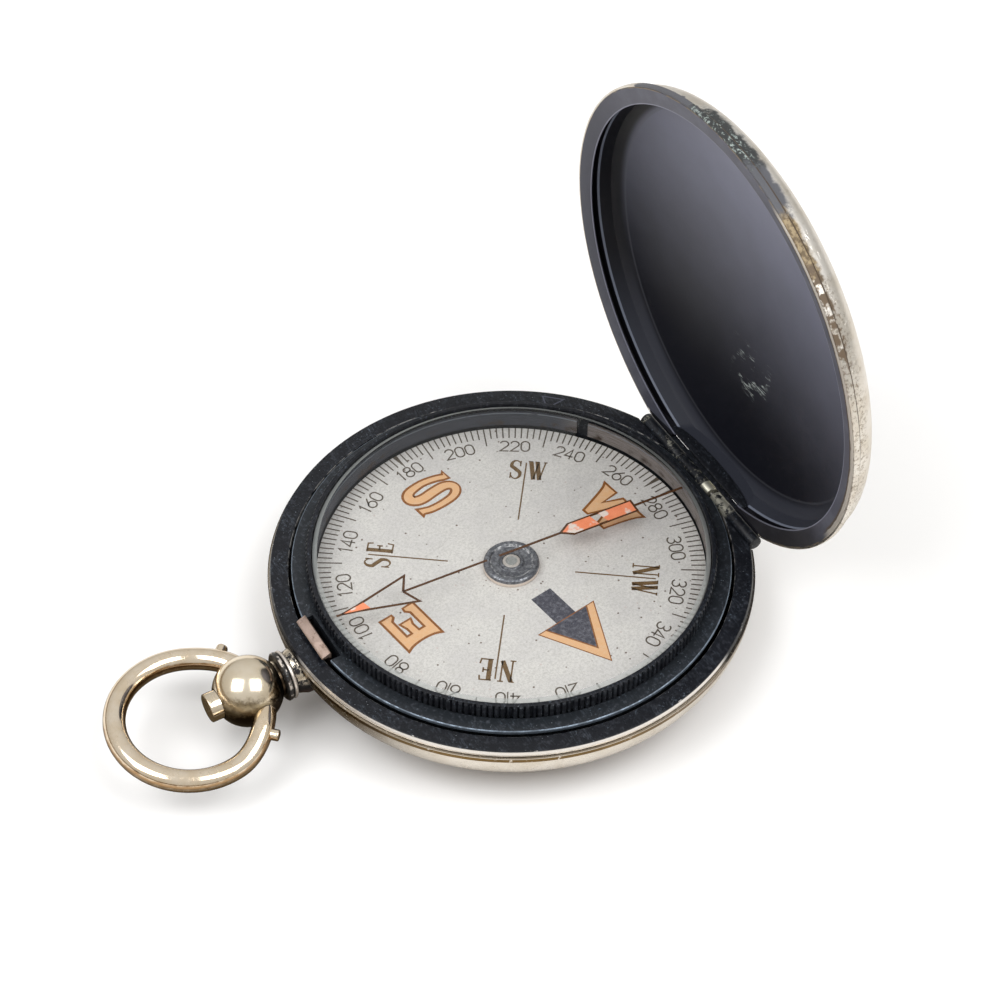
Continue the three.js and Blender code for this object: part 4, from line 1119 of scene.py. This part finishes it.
def sight_line():
    """The line and arrow painted on the underside of the glass."""
    under = GLASS_UNDER_Z
    line = Print(under - 0.05, under - 0.02)
    line.stroke([(0, -1.3), (0, 5.3)], 0.26)
    line.stroke([(0, 13.3), (0, 18.7)], 0.26)
    line.stroke([(0, 5.3), (-0.7, 6.4), (-0.7, 13.3), (0.7, 13.3), (0.7, 6.4)], 0.25, closed=True)
    line.stroke([(0, -2.6), (0, -11.4)], 0.24)
    line.stroke([(0, -11.4), (-1.75, -10.5), (-0.3, -16.2), (0, -17.7), (0, -18.7)], 0.25)
    line.stroke([(0, -11.4), (1.75, -10.5), (0.3, -16.2), (0, -17.7)], 0.25)
    put(line.build("sight_line_ink", BEZEL_PLACE), "bezel", "sight_line", "glass")
    fill = Print(under - 0.03, under - 0.01)
    fill.fill([(-0.64, 6.5), (0, 5.5), (0.64, 6.5), (0.64, 9.2), (-0.64, 8.8)])
    fill.fill([(-0.64, 9.7), (0.64, 10.1), (0.64, 13.2), (-0.64, 13.2)])
    fill.fill([(-0.42, -15.3), (0.46, -15.0), (0.25, -16.3), (0, -17.5), (-0.25, -16.3)])
    put(fill.build("sight_line_paint", BEZEL_PLACE), "bezel", "sight_orange", "glass")


# ---- card ----------------------------------------------------------------------------------------------------

FILL = (CARD_TOP_Z - 0.01, CARD_TOP_Z + 0.012)
INK = (CARD_TOP_Z - 0.01, CARD_TOP_Z + 0.022)


def digit_strokes(digit):
    """A thin upright numeral in a box 0.62 wide and 1 high."""
    w = 0.31
    if digit == "0":
        return [arc(w, 0.68, w, 0.32, 0, 180, 10) + arc(w, 0.32, w, 0.32, 180, 360, 10) + [(2 * w, 0.68)]]
    if digit == "1":
        return [[(w - 0.17, 0.8), (w, 1.0), (w, 0.0)]]
    if digit == "2":
        return [arc(w, 0.7, w, 0.3, 165, -30, 10) + [(0.0, 0.0), (2 * w, 0.0)]]
    if digit == "3":
        return [arc(w, 0.76, w * 0.9, 0.24, 160, -90, 9) + arc(w, 0.27, w, 0.27, 90, -155, 9)[1:]]
    if digit == "4":
        return [[(2 * w, 0.28), (0.0, 0.28), (1.35 * w, 1.0), (1.35 * w, 0.0)]]
    if digit == "6":
        return [[(1.7 * w, 1.0)] + arc(w, 0.3, w, 0.32, 155, 515, 18)]
    if digit == "8":
        return [arc(w, 0.77, w * 0.85, 0.23, -90, 270, 16), arc(w, 0.28, w, 0.28, 90, 450, 16)]
    return []


def turn_out(angle, u, v):
    """From (across, outward) at a bearing on the card to card coordinates; bearings run clockwise."""
    a = math.radians(angle)
    return (u * math.cos(a) + v * math.sin(a), v * math.cos(a) - u * math.sin(a))


def card_numbers():
    layer = Print(*INK)
    height, gap, foot = 1.36, 0.21, 15.45
    for bearing in range(20, 360, 20):
        if bearing == 180 or bearing % 90:
            text = str(bearing)
            widths = [0.4 if c == "1" else 0.62 for c in text]
            middle_tick = bearing < 100
            room = [gap] * (len(text) - 1)
            if middle_tick:
                room = [0.46]
            total = (sum(widths) * height + sum(room))
            u = -total / 2
            for i, c in enumerate(text):
                inset = -0.1 if c == "1" else 0.0
                for stroke in digit_strokes(c):
                    points = [turn_out(bearing, u + (x + inset) * height, foot + y * height) for x, y in stroke]
                    layer.stroke(points, 0.145)
                u += widths[i] * height + (room[i] if i < len(room) else 0)
            if middle_tick:
                u = -total / 2 + widths[0] * height + room[0] / 2
                layer.stroke([turn_out(bearing, u, foot - 0.1), turn_out(bearing, u, foot + height + 0.6)], 0.12)
    put(layer.build("card_numbers", CARD_PLACE), "card", "grey_brown", "card")


def card_ticks():
    layer = Print(*INK)
    for bearing in range(0, 360, 2):
        if bearing % 90 == 0:
            wedge = [(-0.24, 18.68), (0.24, 18.68), (0.03, 16.9), (-0.03, 16.9)]
            layer.fill([turn_out(bearing, u, v) for u, v in wedge])
            continue
        inner = 16.3 if bearing % 20 == 10 else 17.3
        layer.stroke([turn_out(bearing, 0, inner), turn_out(bearing, 0, 18.68)], 0.13)
    put(layer.build("card_ticks", CARD_PLACE), "card", "grey_brown", "card")


def card_arrow():
    slate = Print(CARD_TOP_Z - 0.01, CARD_TOP_Z + 0.018)
    slate.fill([(-1.15, 4.45), (1.15, 4.45), (1.15, 8.27), (2.45, 8.27), (0, 12.9), (-2.45, 8.27), (-1.15, 8.27)])
    put(slate.build("north_arrow", CARD_PLACE), "card", "slate", "card")
    border = Print(*FILL)
    border.fill([(-3.33, 8.27), (-2.45, 8.27), (0, 12.9), (2.45, 8.27), (3.33, 8.27), (0, 14.87)])
    put(border.build("north_arrow_border", CARD_PLACE), "card", "letter", "card")
    outline = Print(*INK)
    outline.stroke([(-3.33, 8.27), (0, 14.87), (3.33, 8.27)], 0.1, closed=True)
    outline.stroke([(-2.45, 8.3), (0, 12.9), (2.45, 8.3)], 0.14)
    put(outline.build("north_arrow_outline", CARD_PLACE), "card", "rust", "card")


def letter_e():
    """The big E as (across, outward) millimetres at its own bearing."""
    top = curve_points([(-2.36, 10.14), (-2.08, 10.75), (-1.93, 11.6), (-1.93, 12.6), (-2.08, 13.45), (-2.36, 14.08)], 3)
    rest = [(2.26, 14.08), (2.26, 12.72), (1.9, 12.74), (1.54, 13.12), (-0.74, 13.12), (-0.74, 12.54),
            (0.0, 12.56), (0.84, 12.8), (0.84, 11.5), (0.2, 11.74), (-0.74, 11.7), (-0.74, 11.08), (1.45, 11.08),
            (1.84, 11.45), (2.28, 11.38), (2.32, 10.16)]
    return [tuple(p) for p in top] + rest


def letter_w():
    left = curve_points([(-1.35, 10.15), (-1.95, 12.1), (-2.45, 13.5), (-2.9, 14.2)], 3)
    right = curve_points([(3.05, 14.2), (2.65, 13.5), (2.2, 12.1), (1.75, 10.15)], 3)
    return ([tuple(p) for p in left] + [(-1.1, 14.2), (-0.95, 12.3), (-0.1, 14.2), (0.35, 14.2), (1.0, 12.3), (1.55, 14.2)]
            + [tuple(p) for p in right] + [(0.8, 10.15), (0.05, 12.2), (-0.7, 10.15)])


def letter_s():
    """The big S: a swelling stroke with a flared serif at each end."""
    spine = [(-2.2, 11.0), (-1.45, 10.75), (-0.14, 10.66), (1.17, 10.78), (1.9, 11.15), (2.17, 11.7), (1.9, 12.24),
             (1.17, 12.5), (-0.14, 12.45), (-1.1, 12.36), (-1.9, 12.5), (-2.33, 13.0), (-2.2, 13.55), (-1.6, 13.93),
             (-0.14, 14.08), (1.17, 13.84), (2.1, 13.48)]
    widths = [0.78, 0.78, 0.8, 0.86, 0.92, 0.96, 1.0, 1.06, 1.1, 1.12, 1.16, 1.18, 1.1, 0.95, 0.8, 0.78, 0.78]
    line = curve_points(spine, 3)
    size = [widths[min(int(k / 3), 15)] + (widths[min(int(k / 3) + 1, 16)] - widths[min(int(k / 3), 15)]) * (k % 3) / 3
            for k in range(len(line))]
    left, right = [], []
    for k, point in enumerate(line):
        ahead = (line[min(k + 1, len(line) - 1)] - line[max(k - 1, 0)]).normalized()
        side = Vector((-ahead.y, ahead.x)) * size[k] / 2
        left.append(tuple(point + side))
        right.append(tuple(point - side))
    flare_start = [(-2.62, 11.62), (-2.62, 10.45)]
    flare_end = [(2.52, 12.98), (2.5, 14.18)]
    start = flare_start[::-1] if left[0][1] > right[0][1] else flare_start
    end = flare_end if left[-1][1] < right[-1][1] else flare_end[::-1]
    return left + end + right[::-1] + start


def shaded_widths(shape):
    """Pen widths round a letter: heavier along the sides that face its foot."""
    widths = []
    for before, after in zip([shape[-1]] + shape[:-1], shape[1:] + shape[:1]):
        along = (Vector(after) - Vector(before)).normalized()
        facing = abs(along.x) * 0.5 + max(along.y, 0) * 0.5
        widths.append(0.16 + 0.15 * facing)
    return widths


def cardinal_letters():
    fill, outline = Print(*FILL), Print(*INK)
    for bearing, shape in ((90, letter_e()), (180, letter_s()), (270, letter_w())):
        placed = [turn_out(bearing, u, v) for u, v in shape]
        fill.fill(placed)
        outline.stroke(placed, shaded_widths(shape), closed=True)
    put(fill.build("cardinal_letters", CARD_PLACE), "card", "letter", "card")
    put(outline.build("cardinal_outlines", CARD_PLACE), "card", "rust", "card")


def small_letter(layer, letter, bearing, u0, width, foot=11.6, height=2.55):
    """A condensed serif capital: thick and thin strokes with slab serifs."""
    thick, thin, serif = 0.44, 0.15, 0.14

    def draw(points, pen):
        layer.stroke([turn_out(bearing, u0 + x * width, foot + y * height) for x, y in points], pen)

    def slab(x, y, half=0.2):
        draw([(x - half, y), (x + half, y)], serif)

    if letter == "N":
        draw([(0.15, 0.02), (0.15, 0.98)], thin)
        draw([(0.86, 0.02), (0.86, 0.98)], thin)
        draw([(0.14, 0.98), (0.86, 0.03)], thick)
        slab(0.13, 0.01)
        slab(0.08, 0.99, 0.16)
        slab(0.86, 0.99)
    if letter == "E":
        draw([(0.25, 0.02), (0.25, 0.98)], thick)
        draw([(0.05, 0.02), (0.88, 0.02), (0.95, 0.24)], thin)
        draw([(0.05, 0.98), (0.85, 0.98), (0.9, 0.78)], thin)
        draw([(0.25, 0.52), (0.68, 0.52)], thin)
        draw([(0.68, 0.41), (0.68, 0.63)], thin)
    if letter == "W":
        draw([(0.1, 0.98), (0.34, 0.03)], thick)
        draw([(0.34, 0.05), (0.52, 0.9)], thin)
        draw([(0.46, 0.98), (0.68, 0.03)], thick)
        draw([(0.68, 0.05), (0.93, 0.98)], thin)
        slab(0.08, 0.98, 0.13)
        slab(0.46, 0.98, 0.13)
        slab(0.93, 0.98, 0.1)
    if letter == "S":
        spine = arc(0.5, 0.74, 0.34, 0.24, 20, 200, 8) + [(0.42, 0.56), (0.6, 0.47)] + arc(0.52, 0.25, 0.34, 0.24, 30, -160, 8)
        pens = [0.12 + 0.3 * math.sin(math.pi * k / (len(spine) - 1)) ** 3 for k in range(len(spine))]
        draw(spine, pens)
        draw([(0.82, 0.98), (0.82, 0.7)], serif)
        draw([(0.16, 0.02), (0.16, 0.32)], serif)


def intercardinals():
    layer = Print(*INK)
    pairs = {45: "NE", 135: "SE", 225: "SW", 315: "NW"}
    for bearing, pair in pairs.items():
        layer.stroke([turn_out(bearing, 0, 6.15), turn_out(bearing, 0, 13.9)], 0.14)
        for letter, side in ((pair[0], -1), (pair[1], 1)):
            width = 1.75 if letter == "W" else 1.35
            u0 = 0.3 if side > 0 else -0.3 - width
            small_letter(layer, letter, bearing, u0, width)
    put(layer.build("intercardinal_letters", CARD_PLACE), "card", "brown", "card")


def card():
    under = CARD_TOP_Z - 0.2
    profile = rounded([(1.25, under), (18.72, under, 0.04), (18.72, CARD_TOP_Z, 0.04), (1.25, CARD_TOP_Z)])
    put(lathe("dial_card_piece", profile, CARD_PLACE), "card", "card", "card", "dial_card")
    card_ticks()
    card_numbers()
    card_arrow()
    cardinal_letters()
    intercardinals()


def hub():
    seat, top = CARD_TOP_Z + 0.03, CARD_TOP_Z + 0.85
    profile = rounded([(1.2, seat - 1.9), (1.2, seat), (2.7, seat, 0.05), (2.72, seat + 0.3, 0.1), (2.66, top - 0.12, 0.1),
                       (2.5, top, 0.08), (2.15, top, 0.06), (2.02, top - 0.16, 0.06), (1.25, top - 0.2, 0.06),
                       (1.1, top + 0.02, 0.05), (0.9, top + 0.02), (0.9, seat - 1.9)])
    put(lathe("card_hub_piece", profile, CARD_PLACE, 96), "card", "hub", "hub_metal", "card_hub")
    profile = rounded([(0.5, CARD_TOP_Z - 0.8), (0.86, CARD_TOP_Z - 0.8), (0.86, top + 0.0, 0.1), (0.55, top + 0.03, 0.05),
                       (0.5, top - 0.02, 0.03), (0, top + 0.0), (0, CARD_TOP_Z + 0.4)])
    put(lathe("jewel_cap_piece", profile, CARD_PLACE, 64), "card", "jewel", "jewel", "jewel_cap")


# ---- lid, drawn closed ------------------------------------------------------------------------------------

def dome_curve(rim_r, start, height, low, high, count):
    out = []
    for k in range(count + 1):
        t = math.radians(low + (high - low) * k / count)
        out.append((rim_r * math.cos(t) ** 0.8, start + height * math.sin(t) ** 0.75))
    return out


LID_WALL_Y = (20.35, 20.75)            # the flat wall that closes the lid along the hinge


def lid():
    foot, start = RIM_Z + 0.08, RIM_Z + 0.9
    outer = dome_curve(22.5, start, 4.75, 2, 84, 34)
    inner = dome_curve(21.4, start + 0.5, 3.75, 12, 84, 28)
    profile = [(22.75, foot, 0.04), (22.95, foot, 0.06), (22.95, start - 0.2, 0.15), (22.6, start - 0.02, 0.05)]
    profile += outer + [(0, start + 4.75), (0, start + 4.2)] + inner[::-1]
    profile += [(21.3, RIM_Z + 1.32, 0.03), (21.38, RIM_Z + 1.2, 0.03), (22.3, RIM_Z + 1.1), (22.35, RIM_Z + 0.5),
                (22.72, RIM_Z + 0.5)]
    shell = lathe("lid_shell_piece", rounded(profile), LID_PLACE, 224)
    trim = block((-12, 12), (20.75, 25), (RIM_Z - 1, RIM_Z + 8))
    trim.matrix_world = LID_PLACE
    combine(shell, [trim])
    wall = lathe("hinge_wall", [(0, RIM_Z + 0.6), (22.4, RIM_Z + 0.6)] + outer + [(0, start + 4.75)], LID_PLACE, 224)
    slab = block((-8.9, 8.9), (LID_WALL_Y[0], LID_WALL_Y[1]), (RIM_Z + 0.65, RIM_Z + 8))
    slab.matrix_world = LID_PLACE
    combine(wall, [slab], "INTERSECT")
    feet = [block(sorted((s * 5.7, s * 9.72)), LID_WALL_Y, (RIM_Z + 0.09, RIM_Z + 1.5)) for s in (-1, 1)]
    for part in feet:
        part.matrix_world = LID_PLACE
    combine(wall, feet, "UNION")
    leaf_room = block((-3.3, 2.3), (20, 21), (RIM_Z, RIM_Z + 1.25))
    leaf_room.matrix_world = LID_PLACE
    combine(wall, [leaf_room])
    combine(shell, [wall], "UNION")
    paint_inside(shell, Vector((0, 0, RIM_Z - 6)))
    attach(shell, "lid")
    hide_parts("lid_shell")
    ring_profile = rounded([(21.03, foot + 0.26, 0.03), (22.73, foot - 0.04, 0.05), (22.73, foot + 0.36),
                            (21.03, foot + 0.36, 0.03)])
    ring = lathe("lid_rim_ring_piece", ring_profile, LID_PLACE, 224)
    trim = block((-12, 12), (20.3, 25), (RIM_Z - 1, RIM_Z + 3))
    trim.matrix_world = LID_PLACE
    combine(ring, [trim])
    put(ring, "lid", "lid_ring", "black_lacquer", "lid_rim_ring")


def paint_inside(shell, heart):
    """The lid's inner faces take the lacquer; the outer ones and the edge stay bare."""
    mesh = shell.data
    mesh.materials.clear()
    mesh.materials.append(M["lid"])
    mesh.materials.append(M["lid_inside"])
    for face in mesh.polygons:
        away = (face.center / MM - heart).normalized()
        inward = face.normal.dot(away) < -0.05
        radius = math.hypot(face.center.x, face.center.y) / MM
        face.material_index = 1 if inward and radius < 22.6 else 0


def lid_hinge():
    barrel = tube("lid_hinge_piece", [(-3.2, HINGE_Y, HINGE_Z), (2.2, HINGE_Y, HINGE_Z)], HINGE_R, LID_PLACE, ease=0.08)
    leaf = prism("leaf", [(20.95, RIM_Z + 0.05), (21.55, RIM_Z + 0.35), (20.7, RIM_Z + 1.2), (20.4, RIM_Z + 1.2),
                          (20.4, RIM_Z + 0.5), (20.9, RIM_Z + 0.5)], -3.2, 2.2, "x", LID_PLACE, 0.03)
    crown = [(6.4 * math.cos(a), RIM_Z + 0.9 + 1.0 * math.sin(a)) for a in (math.radians(9 * k) for k in range(21))]
    plate = prism("plate", [(6.4, RIM_Z + 0.45)] + crown + [(-6.4, RIM_Z + 0.45)], 20.2, 20.42, "y", LID_PLACE, 0.05)
    apron = prism("apron", [(20.72, RIM_Z + 0.12), (20.9, RIM_Z + 0.12), (20.9, RIM_Z + 0.6), (20.72, RIM_Z + 0.6)],
                  -9.6, 9.6, "x", LID_PLACE, 0.02)
    combine(barrel, [leaf, plate, apron], "UNION")
    put(barrel, "lid", "hinge", "black_lacquer", "lid_knuckle")


# ---- pieces kept as the CAD made them ---------------------------------------------------------------------

KEPT = {
    "steel": ["bezel_friction_spring", "pivot_needle", "hinge_pin", "lift_spring", "lift_spring_screw", "catch_spring",
              "catch_spring_screw", "magnet_left", "magnet_right"],
    "brass": ["pivot_seat", "collet_nut"],
    "alloy": ["magnet_carrier"],
}


def paint_kept_nodes():
    for material, names in KEPT.items():
        for name in names:
            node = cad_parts[name]
            node.data.materials.clear()
            node.data.materials.append(M[material])


# ---- stage --------------------------------------------------------------------------------------------------

def white_floor():
    """A pale floor. Polished metal sees it dark round the bow, as in the deep shadow under a real one."""
    work = bmesh.new()
    bmesh.ops.create_grid(work, x_segments=1, y_segments=1, size=1.5)
    floor = finish_mesh("floor", work)
    floor.location.z = -0.00005
    f = Finish("floor_pale")
    seen = f.tree.nodes.new("ShaderNodeLightPath")
    grain = f.noise(0.02, 3, 0.5)
    pale = f.mix(grain, (0.93, 0.93, 0.93), (0.96, 0.96, 0.96))
    south = f.math("ADD", f.y, 33.0)
    away = f.math("SQRT", f.math("ADD", f.math("MULTIPLY", f.x, f.x), f.math("MULTIPLY", south, south)))
    mirrored = f.mix(f.step(away, 9.0, 22.0), (0.10, 0.075, 0.045), (0.80, 0.775, 0.74))
    f.look(colour=f.mix(seen.outputs["Is Glossy Ray"], pale, mirrored), roughness=0.9, specular=0.0)
    floor.data.materials.append(f.material)


def soft_box(name, direction, distance, width, power, turn=0.0, height=None, colour=(1, 1, 1)):
    data = bpy.data.lights.new(name, "AREA")
    data.shape = "RECTANGLE"
    data.size = width
    data.size_y = height or width
    data.energy = power
    data.color = colour
    lamp = bpy.data.objects.new(name, data)
    bpy.context.scene.collection.objects.link(lamp)
    way = Vector(direction).normalized()
    lamp.location = way * distance
    lamp.rotation_euler = (way.to_track_quat("Z", "Y").to_matrix() @ Matrix.Rotation(math.radians(turn), 3, "Z")).to_euler()


def sky():
    """A pale studio, with a dark low strip in front of the part for the polished metal to mirror."""
    world = bpy.data.worlds.new("studio")
    bpy.context.scene.world = world
    world.use_nodes = True
    tree = world.node_tree
    tree.nodes.clear()
    place = tree.nodes.new("ShaderNodeTexCoord")
    split = tree.nodes.new("ShaderNodeSeparateXYZ")
    ramp = tree.nodes.new("ShaderNodeValToRGB")
    front = tree.nodes.new("ShaderNodeMapRange")
    strip = tree.nodes.new("ShaderNodeMix")
    strip.data_type = "RGBA"
    background = tree.nodes.new("ShaderNodeBackground")
    output = tree.nodes.new("ShaderNodeOutputWorld")
    tree.links.new(place.outputs["Generated"], split.inputs[0])
    tree.links.new(split.outputs["Z"], ramp.inputs[0])
    tree.links.new(split.outputs["Y"], front.inputs["Value"])
    front.inputs["From Min"].default_value = 0.25
    front.inputs["From Max"].default_value = -0.15
    colours = [s for s in strip.inputs if s.type == "RGBA"]
    colours[0].default_value = (0.62, 0.60, 0.57, 1)
    tree.links.new(front.outputs[0], strip.inputs["Factor"])
    tree.links.new(ramp.outputs[0], colours[1])
    plain = tree.nodes.new("ShaderNodeValToRGB")
    tree.links.new(split.outputs["Z"], plain.inputs[0])
    tree.links.new(plain.outputs[0], colours[0])
    for node, low in ((ramp, (0.30, 0.23, 0.15, 1)), (plain, (0.66, 0.65, 0.62, 1))):
        stops = node.color_ramp.elements
        stops[0].position, stops[0].color = 0.0, low
        stops[1].position, stops[1].color = 1.0, (0.95, 0.95, 0.95, 1)
        stops.new(0.12).color = low
        stops.new(0.2).color = (0.72, 0.70, 0.67, 1)
    seen = tree.nodes.new("ShaderNodeLightPath")
    backdrop = tree.nodes.new("ShaderNodeMix")
    backdrop.data_type = "RGBA"
    sides = [s for s in backdrop.inputs if s.type == "RGBA"]
    sides[1].default_value = (1.15, 1.15, 1.15, 1)
    tree.links.new(seen.outputs["Is Camera Ray"], backdrop.inputs["Factor"])
    tree.links.new([s for s in strip.outputs if s.type == "RGBA"][0], sides[0])
    tree.links.new([s for s in backdrop.outputs if s.type == "RGBA"][0], background.inputs[0])
    tree.links.new(background.outputs[0], output.inputs[0])
    background.inputs[1].default_value = 0.8


def camera():
    data = bpy.data.cameras.new("camera")
    data.lens = 87.41
    data.sensor_width = 36
    data.clip_start = 0.01
    data.clip_end = 10
    eye = bpy.data.objects.new("camera", data)
    bpy.context.scene.collection.objects.link(eye)
    right = Vector((0.49969, 0.86621, 0.00084))
    up = Vector((-0.63402, 0.36508, 0.68172))
    back = Vector((0.59020, -0.34118, 0.73161))
    turn = Matrix((right, up, back)).transposed()
    eye.matrix_world = Matrix.Translation(Vector((133.102, -78.214, 181.952)) * MM) @ turn.to_4x4()
    bpy.context.scene.camera = eye


def stage():
    white_floor()
    soft_box("box_near", (0.01, -0.575, 0.819), 0.5, 0.3, 1.1, 45)
    soft_box("box_far", (0.462, 0.259, 0.848), 0.5, 0.3, 1.1, 45)
    sky()
    camera()
    scene = bpy.context.scene
    scene.view_settings.view_transform = "Standard"
    scene.view_settings.look = "None"
    scene.cycles.transparent_max_bounces = 16


random.seed(7)
make_materials()
case_bowl()
front_ring()
compass_bowl()
hinge_barrels()
pendant()
catch()
bow()
bezel()
sight_line()
card()
hub()
lid()
lid_hinge()
paint_kept_nodes()
stage()
